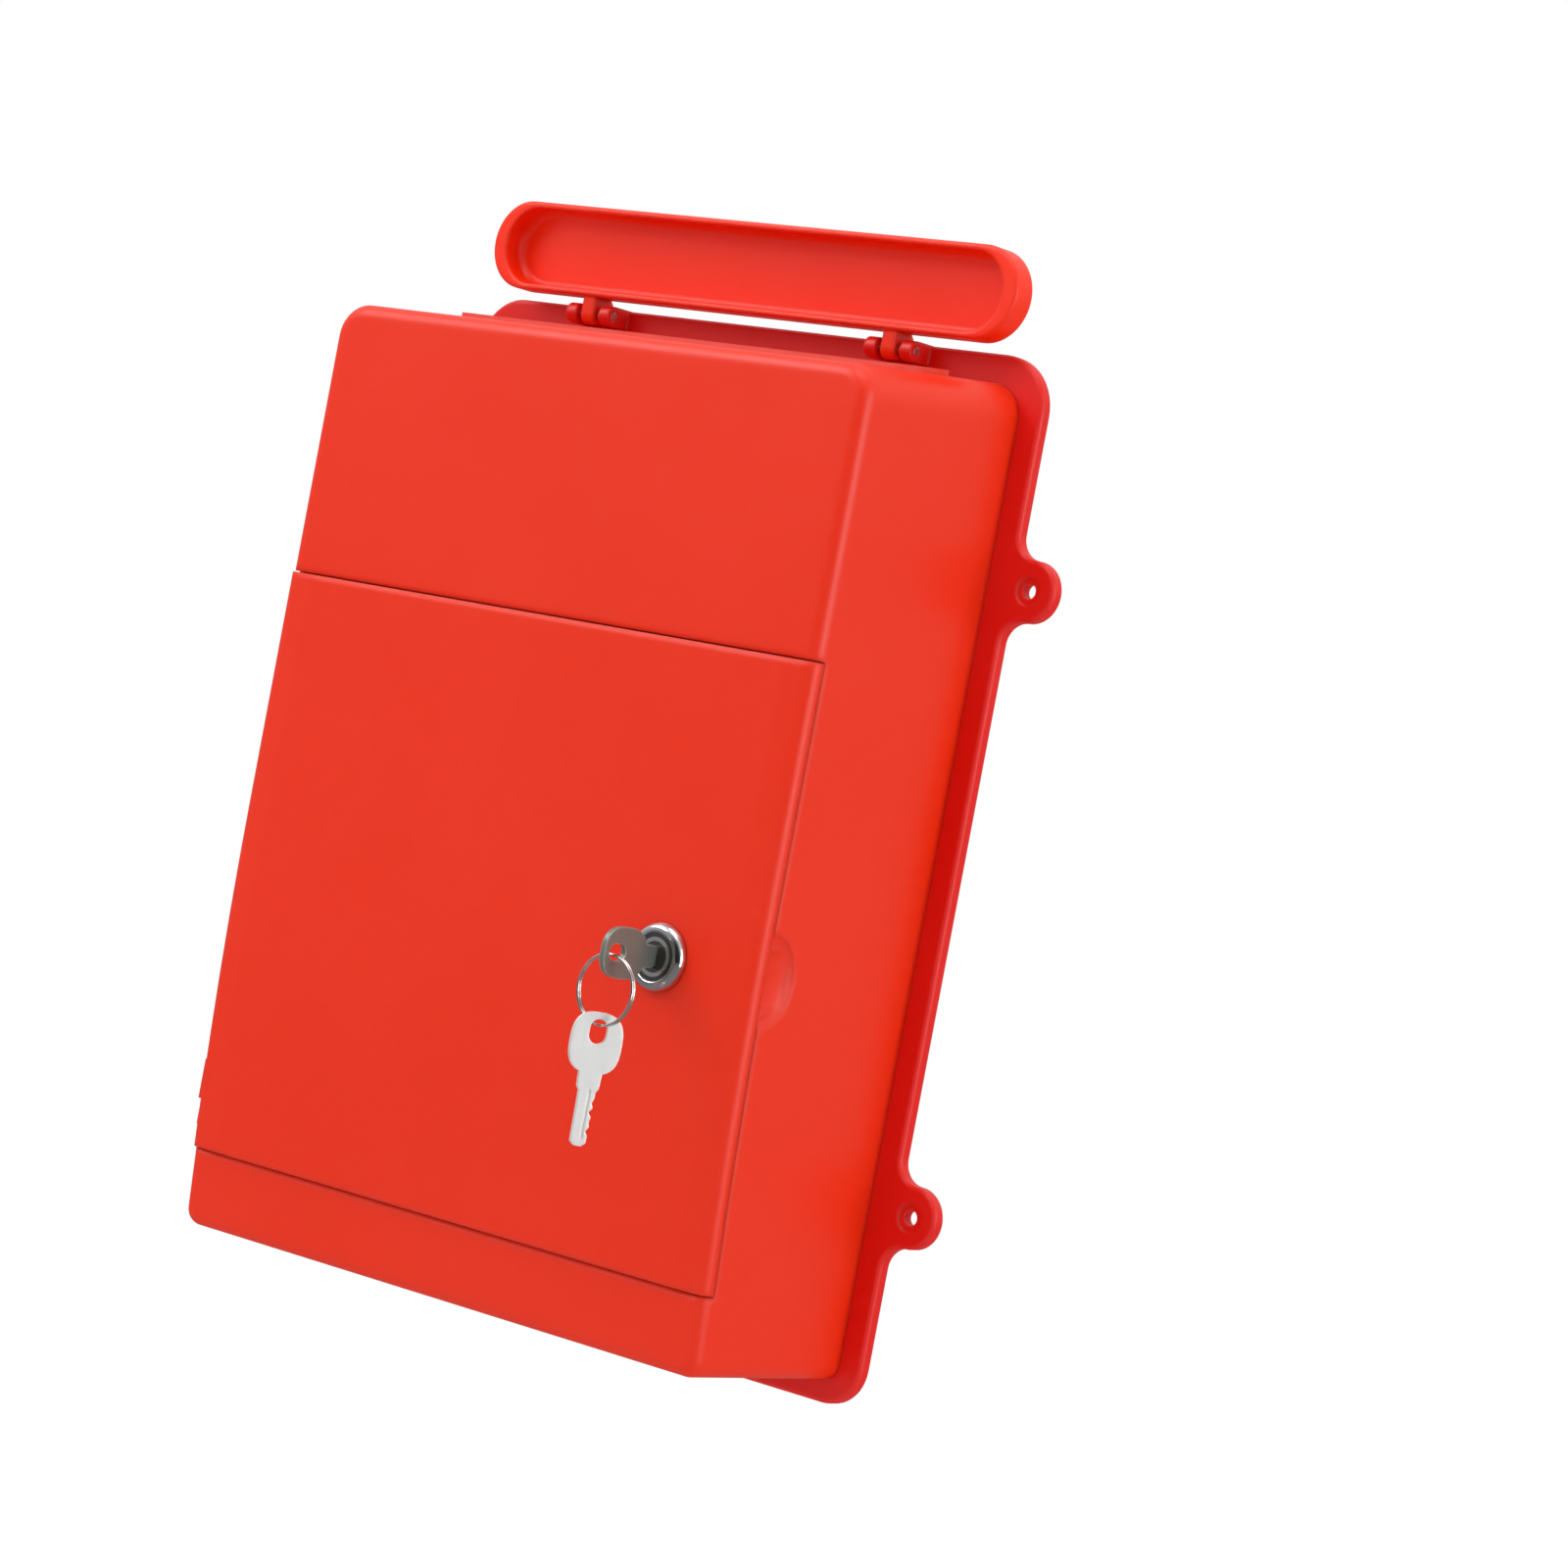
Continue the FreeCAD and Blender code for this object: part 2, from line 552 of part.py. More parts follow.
def make_letter_slot(body):
    """The letter slot through the sloping top, with a low collar that the closed flap covers."""
    lean = "(flap_lift + flap_height / 2)"
    along = "((box_depth - flap_axis_out) * cos(%s) + (%s - %s) * sin(%s) - %s)" % (
        SLOPE, FLAP_AXIS_UP, TOP, SLOPE, lean)
    stages = (("collar", "Pad", "box_width / 2 - slot_margin + collar_wall", "slot_width / 2 + collar_wall"),
              ("slot", "Pocket", "box_width / 2 - slot_margin", "slot_width / 2"))
    for name, kind, half_length, radius in stages:
        sketch = sketch_on(body, "XY_Plane", name + "_outline")
        sketch.AttachmentOffset = Placement(Vector(), Rotation(Vector(1, 0, 0), number(SLOPE)))
        sketch.setExpression(".AttachmentOffset.Rotation.Angle", bind(SLOPE))
        sketch.setExpression(".AttachmentOffset.Base.y", bind("-box_depth"))
        sketch.setExpression(".AttachmentOffset.Base.z", bind(TOP))
        add_stadium(sketch, along, half_length, radius)
        length = "collar_height" if kind == "Pad" else "4 * (collar_height + wall)"
        extrude(body, kind, sketch, name, length, both_ways=(kind == "Pocket"))


def barrel_spans(middle):
    """Start and length of a hinge's three barrels along the axis: shell, door, shell."""
    door_start = "(%s - barrel_long / 2)" % middle
    return {
        "low": ("(%s - barrel_clear - barrel_short)" % door_start, "barrel_short"),
        "door": (door_start, "barrel_long"),
        "high": ("(%s + barrel_long + barrel_clear)" % door_start, "barrel_short"),
    }


def make_shell_hinge(body):
    """The shell's barrels of the two door hinges, and room for the door's barrels."""
    for station, middle in (("low", HINGE_LOW), ("high", HINGE_HIGH)):
        spans = barrel_spans(middle)
        for part in ("low", "high"):
            start, length = spans[part]
            name = "barrel_%s_%s" % (station, part)
            add_rod(body, name, ("-%s" % SIDE, "-%s" % HINGE_OUT, start), "Z", "barrel_radius", length)
            add_box(body, name + "_web", ("-%s" % SIDE, "-%s" % HINGE_OUT, start),
                    ("barrel_radius", "barrel_radius + wall", length))
        start, length = spans["door"]
        add_rod(body, "barrel_room_" + station,
                ("-%s" % SIDE, "-%s" % HINGE_OUT, "%s - barrel_clear" % start), "Z",
                "barrel_radius + barrel_clear", "%s + 2 * barrel_clear" % length, "Subtractive")
        add_box(body, "web_room_" + station,
                ("-%s - barrel_radius" % SIDE, "-%s + door_edge - wall" % DOOR_FACE,
                 "%s - barrel_clear" % start),
                ("barrel_radius + wall + barrel_clear", "hinge_back - door_edge + wall",
                 "%s + 2 * barrel_clear" % length), "Subtractive")
        add_rod(body, "pin_bore_" + station, ("-%s" % SIDE, "-%s" % HINGE_OUT, spans["low"][0]), "Z",
                "hinge_pin_radius + pin_hold",
                "barrel_long + 2 * barrel_short + 2 * barrel_clear", "Subtractive")
        above = "(%s + %s)" % spans["high"]
        add_rod(body, "pin_head_room_" + station, ("-%s" % SIDE, "-%s" % HINGE_OUT, above), "Z",
                "hinge_pin_head + barrel_clear", "hinge_pin_head + barrel_clear", "Subtractive")


def make_scoop(body):
    """The finger scoop in the right side, behind the door's edge and level with the lock."""
    seam_out = "(%s - door_edge)" % DOOR_FACE
    add_box(body, "scoop_backing",
            ("%s - scoop_depth" % INNER, "-%s + wall / 2" % seam_out, "%s - scoop_length / 2" % LOCK_UP),
            ("scoop_depth + wall / 2", "scoop_width - wall / 2", "scoop_length"))
    scoop = body.newObject("PartDesign::SubtractiveEllipsoid", "scoop")
    scoop.setExpression("Radius1", bind("scoop_length / 2"))
    scoop.setExpression("Radius2", bind("scoop_depth"))
    scoop.setExpression("Radius3", bind("scoop_width"))
    set_place(scoop, SIDE, "-%s" % seam_out, LOCK_UP)
    doc.recompute()


def cam_front():
    """Y of the cam's front face, behind the lock's barrel."""
    return "(lock_length - %s)" % DOOR_FACE


def make_catch(body):
    """The catch that the turned cam reaches behind: a bar between two gussets, on the frame."""
    bar_back = "(%s - catch_gap)" % cam_front()
    start_x = "(%s - frame_margin)" % SIDE
    low_z = "(%s - catch_height / 2)" % LOCK_UP
    seam_y = "(door_edge + wall / 2 - %s)" % DOOR_FACE
    add_box(body, "catch_bar", (start_x, "%s - wall" % bar_back, low_z),
            ("frame_margin - wall / 2", "wall", "catch_height"))
    for name, z in (("catch_gusset_low", low_z), ("catch_gusset_high", "%s + catch_height - wall" % low_z)):
        add_box(body, name, (start_x, seam_y, z),
                ("frame_margin - wall / 2", "%s - %s" % (bar_back, seam_y), "wall"))


def make_door():
    """The door: a shallow tray with a bowed face, ribs, the lock's boss and hinge barrels."""
    body = new_body("door")
    back = "(door_edge - seam)"
    profile = sketch_on(body, "YZ_Plane", "door_profile")
    add_outline(profile, [
        (front_at("0", DOOR_LOW), DOOR_LOW, "bow_radius", -1),
        ("-%s" % DOOR_FACE, BOW_START),
        ("-%s" % DOOR_FACE, DOOR_TOP),
        ("%s - %s" % (back, DOOR_FACE), DOOR_TOP),
        ("%s - %s" % (back, DOOR_FACE), BOW_START, "bow_radius - %s" % back, 1),
        (front_at(back, DOOR_LOW), DOOR_LOW),
    ])
    block = extrude(body, "Pad", profile, "door_block", "box_width", both_ways=True)

    def on_face_edge(x, y, z):
        level = min(z, number(BOW_START))
        return near(abs(x), SIDE) and abs(y - number(front_at("0", "(%.6f)" % level))) < 0.02
    soft = body.newObject("PartDesign::Chamfer", "door_soft_sides")
    soft.Base = (block, edge_names(block, on_face_edge))
    soft.ChamferType = "Two distances"
    soft.setExpression("Size", bind("door_soft_edge"))
    soft.setExpression("Size2", bind("door_soft_drop"))
    soft.FlipDirection = False
    doc.recompute()
    drop = number("door_soft_drop")

    def on_soft_edge(x, y, z):
        level = min(z, number(BOW_START))
        front = number(front_at("0", "(%.6f)" % level))
        return near(abs(x), SIDE) and abs(y - front - drop) < 0.1
    rounded = round_edges(body, soft, "door_upright_edges", "door_round - door_soft_drop", on_soft_edge)
    inner_low = "(%s + wall)" % DOOR_LOW
    inner_top = "(%s - wall)" % DOOR_TOP
    middle_rib = "(%s)" % BOW_START
    columns = (("left", "-%s + wall" % SIDE, "-rib_place - rib / 2"),
               ("middle", "-rib_place + rib / 2", "rib_place - rib / 2"),
               ("right", "rib_place + rib / 2", "%s - wall" % SIDE))
    for name, start, finish in columns:
        upper = sketch_on(body, "YZ_Plane", "door_hollow_%s_high_outline" % name, start)
        add_outline(upper, [
            ("wall - %s" % DOOR_FACE, "%s + rib" % middle_rib),
            ("wall - %s" % DOOR_FACE, inner_top),
            ("door_edge + wall - %s" % DOOR_FACE, inner_top),
            ("door_edge + wall - %s" % DOOR_FACE, "%s + rib" % middle_rib),
        ])
        extrude(body, "Pocket", upper, "door_hollow_%s_high" % name, "%s - (%s)" % (finish, start), turned=True)
        lower = sketch_on(body, "YZ_Plane", "door_hollow_%s_low_outline" % name, start)
        add_outline(lower, [
            (front_at("wall", inner_low), inner_low, "bow_radius - wall", -1),
            ("wall - %s" % DOOR_FACE, middle_rib),
            ("box_depth * 0.2 - %s" % DOOR_FACE, middle_rib),
            ("box_depth * 0.2 - %s" % DOOR_FACE, inner_low),
        ])
        extrude(body, "Pocket", lower, "door_hollow_%s_low" % name, "%s - (%s)" % (finish, start), turned=True)
    add_rod(body, "lock_boss_ring", (LOCK_OUT, "wall / 2 - %s" % DOOR_FACE, LOCK_UP), "Y",
            "lock_boss", "%s - wall / 2" % back)
    rise = "sqrt((lock_radius + fit) ^ 2 - (lock_flat + fit) ^ 2)"
    left, right = ("(%s %s lock_flat %s fit)" % (LOCK_OUT, sign, sign) for sign in "-+")
    low, high = ("(%s %s %s)" % (LOCK_UP, sign, rise) for sign in "-+")
    hole = add_outline(sketch_on(body, "XZ_Plane", "lock_hole_outline"), [
        (right, low),
        (right, high, "lock_radius + fit", 1),
        (left, high),
        (left, low, "lock_radius + fit", 1),
    ])
    extrude(body, "Pocket", hole, "lock_hole", "3 * box_depth", both_ways=True)
    for station, middle in (("low", HINGE_LOW), ("high", HINGE_HIGH)):
        spans = barrel_spans(middle)
        for part, beyond in (("low", "0"), ("high", "hinge_pin_head")):
            start, length = spans[part]
            add_rod(body, "door_barrel_room_%s_%s" % (station, part),
                    ("-%s" % SIDE, "-%s" % HINGE_OUT, "%s - barrel_clear" % start), "Z",
                    "barrel_radius + barrel_clear", "%s + 2 * barrel_clear + %s" % (length, beyond),
                    "Subtractive")
        start, length = spans["door"]
        add_rod(body, "door_barrel_" + station, ("-%s" % SIDE, "-%s" % HINGE_OUT, start), "Z",
                "barrel_radius", length)
        add_box(body, "door_barrel_web_" + station,
                ("-%s" % SIDE, "door_round - %s" % DOOR_FACE, start),
                ("wall", "hinge_back - door_round", length))
        add_rod(body, "door_pin_bore_" + station, ("-%s" % SIDE, "-%s" % HINGE_OUT, start), "Z",
                "hinge_pin_radius + pin_run", length, "Subtractive")
    return body


def make_slot_flap():
    """The flap over the letter slot: a long tray with round ends and two hinge arms."""
    body = new_body("slot_flap")
    middle = "(%s + flap_lift + flap_height / 2)" % FLAP_AXIS_UP
    back_out = "(flap_axis_out - flap_behind)"
    outline = add_stadium(sketch_on(body, "XZ_Plane", "flap_outline", back_out),
                          middle, "box_width / 2 - flap_inset", "flap_height / 2")
    tray = extrude(body, "Pad", outline, "flap_block", "flap_depth")
    tray = bevel_edges(body, tray, "flap_back_bevel", "flap_back_edge",
                       lambda x, y, z: near(y, "-" + back_out))
    bevel_edges(body, tray, "flap_rim_bevel", "flap_rim_edge",
                lambda x, y, z: near(y, "-%s - flap_depth" % back_out))
    inner = add_stadium(sketch_on(body, "XZ_Plane", "flap_well_outline", "%s + flap_depth" % back_out),
                        middle, "box_width / 2 - flap_inset - flap_wall", "flap_height / 2 - flap_wall")
    well = extrude(body, "Pocket", inner, "flap_well", "flap_depth - flap_wall")
    bevel_edges(body, well, "flap_well_foot", "flap_foot",
                lambda x, y, z: near(y, "-%s - flap_wall" % back_out))
    for side, name in (("", "right"), ("-", "left")):
        start = "(%sarm_place - arm_width / 2)" % side
        arm = sketch_on(body, "YZ_Plane", "arm_%s_outline" % name, start)
        add_outline(arm, [
            ("-flap_axis_out - flap_knuckle", FLAP_AXIS_UP),
            ("-flap_axis_out - flap_knuckle", "%s + flap_lift + flap_wall / 2" % FLAP_AXIS_UP),
            ("flap_behind - flap_axis_out - flap_wall", "%s + flap_lift + flap_wall / 2" % FLAP_AXIS_UP),
            ("-flange_thickness - stop_gap", "%s + flap_lift - flap_wall" % FLAP_AXIS_UP),
            ("-flange_thickness - stop_gap", "%s" % FLAP_AXIS_UP),
            ("-flap_axis_out + flap_knuckle", "%s" % FLAP_AXIS_UP),
        ])
        extrude(body, "Pad", arm, "arm_" + name, "arm_width")
        add_rod(body, "arm_%s_knuckle" % name, (start, "-flap_axis_out", FLAP_AXIS_UP), "X",
                "flap_knuckle", "arm_width")
        add_rod(body, "arm_%s_bore" % name, (start, "-flap_axis_out", FLAP_AXIS_UP), "X",
                "flap_pin_radius + pin_run", "arm_width", "Subtractive")
    return body


def make_flap_pin(name, side):
    """A pin through the two lugs and the arm of one flap hinge."""
    body = new_body(name)
    reach = "(arm_width + 2 * lug_gap + 2 * lug_width)"
    add_rod(body, name + "_shank", ("-%s / 2" % reach, "0", "0"), "X", "flap_pin_radius", reach)
    set_place(body, side + "arm_place", "-flap_axis_out", FLAP_AXIS_UP)
    return body


def make_hinge_pin(name, middle):
    """A door hinge pin with a small head on its upper end."""
    body = new_body(name)
    reach = "(barrel_long + 2 * barrel_short + 2 * barrel_clear)"
    add_rod(body, name + "_shank", ("0", "0", "-%s / 2" % reach), "Z", "hinge_pin_radius", reach)
    add_rod(body, name + "_head", ("0", "0", "%s / 2" % reach), "Z", "hinge_pin_head", "hinge_pin_head")
    set_place(body, "-%s" % SIDE, "-%s" % HINGE_OUT, middle)
    return body


def at_lock(body):
    """Lock pieces are drawn about the lock's axis, with Y = 0 at the door's face."""
    set_place(body, LOCK_OUT, "-%s" % DOOR_FACE, LOCK_UP)
    return body


def make_lock_housing():
    body = new_body("lock_housing")
    seat = "(plug_head_depth - bezel_depth + plug_recess + fit)"
    bore = "(plug_radius + plug_run)"
    profile = add_outline(sketch_on(body, "YZ_Plane", "housing_profile"), [
        ("-bezel_depth", "plug_head + plug_run"),
        ("-bezel_depth", "bezel_radius - bezel_slope"),
        ("bezel_slope - bezel_depth", "bezel_radius"),
        ("0", "bezel_radius"),
        ("0", "lock_radius"),
        ("lock_length", "lock_radius"),
        ("lock_length", bore),
        (seat, bore),
        (seat, "plug_head + plug_run"),
    ])
    revolve(body, profile, "housing_turned")
    for name, corner in (("flat_right", "lock_flat"), ("flat_left", "-lock_flat - bezel_radius")):
        add_box(body, name, (corner, "0", "-bezel_radius"),
                ("bezel_radius", "lock_length", "2 * bezel_radius"), "Subtractive")
    return at_lock(body)


def make_nut():
    body = new_body("lock_nut")
    start = "(door_edge - seam + nut_washer)"
    half, slant = "nut_half", "(2 * nut_half / sqrt(3))"
    outline = add_outline(sketch_on(body, "XZ_Plane", "nut_outline", "-%s - nut_thickness" % start), [
        (slant, "0"), ("%s / 2" % slant, half), ("-%s / 2" % slant, half),
        ("-%s" % slant, "0"), ("-%s / 2" % slant, "-" + half), ("%s / 2" % slant, "-" + half)])
    extrude(body, "Pad", outline, "nut_block", "nut_thickness")
    add_rod(body, "nut_bore", ("0", start, "0"), "Y", "lock_radius + pin_hold", "nut_thickness", "Subtractive")
    return at_lock(body)


def make_nut_washer():
    body = new_body("lock_washer")
    start = "(door_edge - seam)"
    add_rod(body, "washer_disc", ("0", start, "0"), "Y", "lock_boss - wall / 2", "nut_washer")
    add_rod(body, "washer_bore", ("0", start, "0"), "Y", "lock_radius + pin_hold", "nut_washer", "Subtractive")
    return at_lock(body)


WAFER_COUNT = 4


def make_plug():
    """The plug that the key turns, with its keyway, wafer slots and square tail."""
    body = new_body("lock_plug")
    face = "(plug_recess - bezel_depth)"
    profile = add_outline(sketch_on(body, "YZ_Plane", "plug_profile"), [
        (face, "0"), (face, "plug_head"), ("%s + plug_head_depth" % face, "plug_head"),
        ("%s + plug_head_depth" % face, "plug_radius"), ("lock_length", "plug_radius"),
        ("lock_length", "0")])
    revolve(body, profile, "plug_turned")
    add_box(body, "plug_tail", ("-tail_half", "lock_length - wall", "-tail_half"),
            ("2 * tail_half", "wall + cam_thickness", "2 * tail_half"))
    add_box(body, "keyway", ("-key_thickness / 2 - keyway_clear", "-bezel_depth", "-blade_half - keyway_clear"),
            ("key_thickness + 2 * keyway_clear", "bezel_depth + lock_length - cam_thickness",
             "2 * blade_half + 2 * keyway_clear"), "Subtractive")
    for index in range(WAFER_COUNT):
        add_box(body, "wafer_slot_%d" % (index + 1),
                ("-plug_radius / 2", "wafer_first + %d * wafer_pitch" % index, "-plug_radius"),
                ("plug_radius", "wafer_slot", "2 * plug_radius"), "Subtractive")
    add_rod(body, "tail_bore", ("0", "lock_length + cam_thickness - tail_bore_depth", "0"), "Y",
            "cam_screw_radius", "tail_bore_depth", "Subtractive")
    return at_lock(body)


def make_wafers():
    """Wafers, each a plate with a window that the blade passes through."""
    wafers = []
    for index in range(WAFER_COUNT):
        plate = doc.addObject("Part::Box", "wafer_plate_%d" % (index + 1))
        window = doc.addObject("Part::Box", "wafer_window_%d" % (index + 1))
        sizes = ((plate, "(plug_radius / 2 - wafer_clear)", "(plug_radius * sqrt(3) / 2 - 2 * wafer_clear)"),
                 (window, "(key_thickness / 2 + 2 * keyway_clear)", "(blade_half + 2 * keyway_clear)"))
        for piece, half_x, half_z in sizes:
            piece.setExpression("Length", bind("2 * %s" % half_x))
            piece.setExpression("Width", bind("wafer_slot - 2 * wafer_clear"))
            piece.setExpression("Height", bind("2 * %s" % half_z))
            set_place(piece, "-%s" % half_x,
                      "wafer_first + wafer_clear + %d * wafer_pitch" % index, "-%s" % half_z)
        wafer = doc.addObject("Part::Cut", "wafer_%d" % (index + 1))
        wafer.Base, wafer.Tool = plate, window
        wafers.append(wafer)
    group = doc.addObject("Part::Compound", "lock_wafers")
    group.Links = wafers
    group.Label = "lock_wafers"
    return at_lock(group)


def make_cam():
    """The cam: a flat steel tongue with a square hole, pointing down while the lock is open."""
    body = new_body("lock_cam")
    outline = add_outline(sketch_on(body, "XZ_Plane", "cam_outline", "-lock_length - cam_thickness"), [
        ("-cam_half", "cam_half - cam_reach"),
        ("-cam_half / 2", "-cam_reach"),
        ("cam_half / 2", "-cam_reach"),
        ("cam_half", "cam_half - cam_reach"),
        ("cam_half", "cam_half"),
        ("-cam_half", "cam_half")])
    plate = extrude(body, "Pad", outline, "cam_plate", "cam_thickness")
    round_edges(body, plate, "cam_corners", "cam_half * 0.4", lambda x, y, z: near(z, "cam_half") and abs(x) > 1)
    add_box(body, "cam_square", ("-tail_half - pin_hold", "lock_length", "-tail_half - pin_hold"),
            ("2 * tail_half + 2 * pin_hold", "cam_thickness", "2 * tail_half + 2 * pin_hold"), "Subtractive")
    return at_lock(body)


def make_cam_washer():
    body = new_body("cam_washer")
    start = "lock_length + cam_thickness"
    add_rod(body, "cam_washer_disc", ("0", start, "0"), "Y", "tail_half * 1.5", "cam_washer_thickness")
    add_rod(body, "cam_washer_bore", ("0", start, "0"), "Y", "cam_screw_radius + joint_clear",
            "cam_washer_thickness", "Subtractive")
    return at_lock(body)


def make_cam_screw():
    body = new_body("cam_screw")
    start = "lock_length + cam_thickness + cam_washer_thickness"
    reach = "(tail_bore_depth + cam_washer_thickness - joint_clear)"
    face = "%s + cam_screw_head_height" % start
    add_rod(body, "cam_screw_head", ("0", start, "0"), "Y", "cam_screw_head", "cam_screw_head_height")
    add_rod(body, "cam_screw_shank", ("0", "%s - %s" % (start, reach), "0"), "Y",
            "cam_screw_radius - pin_hold", reach)
    add_box(body, "cam_screw_slot", ("-cam_screw_head", "%s - cam_screw_slot" % face, "-cam_screw_slot / 2"),
            ("2 * cam_screw_head", "cam_screw_slot", "cam_screw_slot"), "Subtractive")
    return at_lock(body)


def make_shell_screws():
    """Four countersunk screws that hold the back plate to the shell's posts, driven from behind."""
    screws = []
    for side in ("", "-"):
        for level, z in (("high", "%s - post_inset" % TOP), ("low", "%s + post_inset" % BOTTOM)):
            name = "screw_%s_%s" % ("left" if side else "right", level)
            head = doc.addObject("Part::Cone", name + "_head")
            head.setExpression("Radius1", bind("pilot_radius + joint_clear - joint_head_gap"))
            head.setExpression("Radius2", bind("pilot_radius + joint_clear + joint_sink - 2 * joint_head_gap"))
            head.setExpression("Height", bind("joint_sink - joint_head_gap"))
            shank = doc.addObject("Part::Cylinder", name + "_shank")
            shank.setExpression("Radius", bind("pilot_radius - pin_hold"))
            shank.setExpression("Height", bind("screw_length - joint_sink"))
            for piece, base in ((head, "-joint_sink"), (shank, "-screw_length")):
                piece.Placement = Placement(Vector(), AXIS_TURN["Y"])
                set_place(piece, side + POST_OUT, base, z)
            joined = doc.addObject("Part::Fuse", name + "_blank")
            joined.Base, joined.Tool = head, shank
            arms = []
            for turn, width, height in (("across", "cross_length", "cross_width"),
                                        ("up", "cross_width", "cross_length")):
                arm = doc.addObject("Part::Box", "%s_slot_%s" % (name, turn))
                arm.setExpression("Length", bind(width))
                arm.setExpression("Width", bind("cross_depth"))
                arm.setExpression("Height", bind(height))
                set_place(arm, "%s%s - %s / 2" % (side, POST_OUT, width),
                          "-cross_depth - joint_head_gap / 2", "%s - %s / 2" % (z, height))
                arms.append(arm)
            cross = doc.addObject("Part::Fuse", name + "_cross")
            cross.Base, cross.Tool = arms
            screw = doc.addObject("Part::Cut", name)
            screw.Base, screw.Tool = joined, cross
            screws.append(screw)
    group = doc.addObject("Part::Compound", "shell_screws")
    group.Links = screws
    group.Label = "shell_screws"
    return group


# Shares of the bow's length, from the shoulder, at which its outline turns
BOW_SHARES = (0.22, 0.34, 0.76)
# Depth of each cut in the blade's edge, as a share of the blade's half height
KEY_CUTS = (0.3, 0.55, 0.2, 0.45)


# Centre of the hole's outer round end, along the key from its shoulder
HOLE_END = "(key_hole_rim + key_hole_radius - bow_length)"


def make_key(name):
    """A key: blade along +Y from its shoulder at the origin, bow towards -Y, faces to X."""
    body = new_body(name)
    half = "(bow_width / 2)"
    neck, cheek, brow = ("-bow_length * %s" % share for share in BOW_SHARES)
    bow = add_outline(sketch_on(body, "YZ_Plane", name + "_outline", "-key_thickness / 2"), [
        ("0", "key_neck_half"),
        (neck, "key_neck_half"),
        (cheek, half),
        (brow, half),
        ("-bow_length", "%s * 0.6" % half),
        ("-bow_length", "-%s * 0.6" % half),
        (brow, "-" + half),
        (cheek, "-" + half),
        (neck, "-key_neck_half"),
        ("0", "-key_neck_half"),
        ("0", "-blade_half"),
        ("blade_length - blade_half / 2", "-blade_half"),
        ("blade_length", "-blade_half / 2"),
        ("blade_length", "blade_half / 2"),
        ("blade_length - blade_half / 2", "blade_half"),
        ("0", "blade_half"),
    ])
    plate = extrude(body, "Pad", bow, name + "_plate", "key_thickness")
    plate = round_edges(body, plate, name + "_bow_corners", "bow_width * 0.2",
                        lambda x, y, z: y < number("-bow_length * 0.4") + 0.01 and abs(z) > 1
                        and near(abs(x), "0", number("key_thickness / 2") + 0.01), upright="X")
    hole = add_stadium(sketch_on(body, "YZ_Plane", name + "_hole_outline"), "0", "key_hole_length / 2",
                       "key_hole_radius", "(key_hole_rim + key_hole_length / 2 - bow_length)")
    extrude(body, "Pocket", hole, name + "_hole", "2 * key_thickness", both_ways=True)
    add_box(body, name + "_groove", ("key_thickness * 0.15", "0", "-blade_half * 0.45"),
            ("key_thickness", "blade_length - blade_half", "blade_half * 0.35"), "Subtractive")
    for index, depth in enumerate(KEY_CUTS):
        start = "blade_length * (0.16 + 0.17 * %d)" % index
        add_box(body, "%s_cut_%d" % (name, index + 1), ("-key_thickness", start, "blade_half * (1 - %s)" % depth),
                ("2 * key_thickness", "blade_length * 0.1", "blade_half"), "Subtractive")
    return body


def make_inserted_key():
    body = make_key("inserted_key")
    set_place(body, LOCK_OUT, "-%s - bezel_depth + plug_recess - key_gap" % DOOR_FACE, LOCK_UP)
    return body


RING_Y = "(plug_recess - %s - bezel_depth - key_gap + %s)" % (DOOR_FACE, HOLE_END)
RING_HANG = "(%s - key_hole_radius + ring_wire + hang_gap)" % LOCK_UP
SPARE_HANG = "(%s - 2 * ring_radius)" % RING_HANG


def make_key_ring():
    """The ring, hanging from the hole of the inserted key."""
    ring = new_body("key_ring")
    flank = "ring_wire * sqrt(3) / 2"
    section = add_outline(sketch_on(ring, "YZ_Plane", "ring_section"), [
        ("ring_wire", "ring_radius"),
        ("ring_wire / 2", "ring_radius + " + flank),
        ("-ring_wire / 2", "ring_radius + " + flank),
        ("-ring_wire", "ring_radius"),
        ("-ring_wire / 2", "ring_radius - " + flank),
        ("ring_wire / 2", "ring_radius - " + flank),
    ])
    revolve(ring, section, "ring_turned")
    set_place(ring, LOCK_OUT, RING_Y, "%s - ring_radius" % RING_HANG)
    return ring


def make_hanging_key():
    """The spare key, hanging from the ring with its face turned towards the viewer's right."""
    body = make_key("hanging_key")
    hang = Rotation(Vector(1, 0, 0), -90)
    heading = Rotation(Vector(0, 0, 1), number("key_turn_angle") - 90)
    body.Placement = Placement(Vector(), heading.multiply(hang))
    height = "%s - key_hole_radius + ring_wire + hang_gap + %s" % (SPARE_HANG, HOLE_END)
    set_place(body, LOCK_OUT, RING_Y, height)
    return body


def check_and_write(parts):
    """Refuse a failed feature or an empty or invalid shape, then write each sub-part."""
    for item in doc.Objects:
        if "Invalid" in item.State or "Error" in item.State:
            raise RuntimeError("%s failed: %s" % (item.Name, item.State))
    for part in parts:
        if part.Shape.isNull() or not part.Shape.isValid():
            raise RuntimeError("%s has no valid shape" % part.Label)
    os.makedirs("parts", exist_ok=True)
    for part in parts:
        part.Shape.exportStep("parts/%s.step" % part.Label)
        print("%-20s %2d solids %9.1f cubic millimetres" % (
            part.Label, len(part.Shape.Solids), part.Shape.Volume))


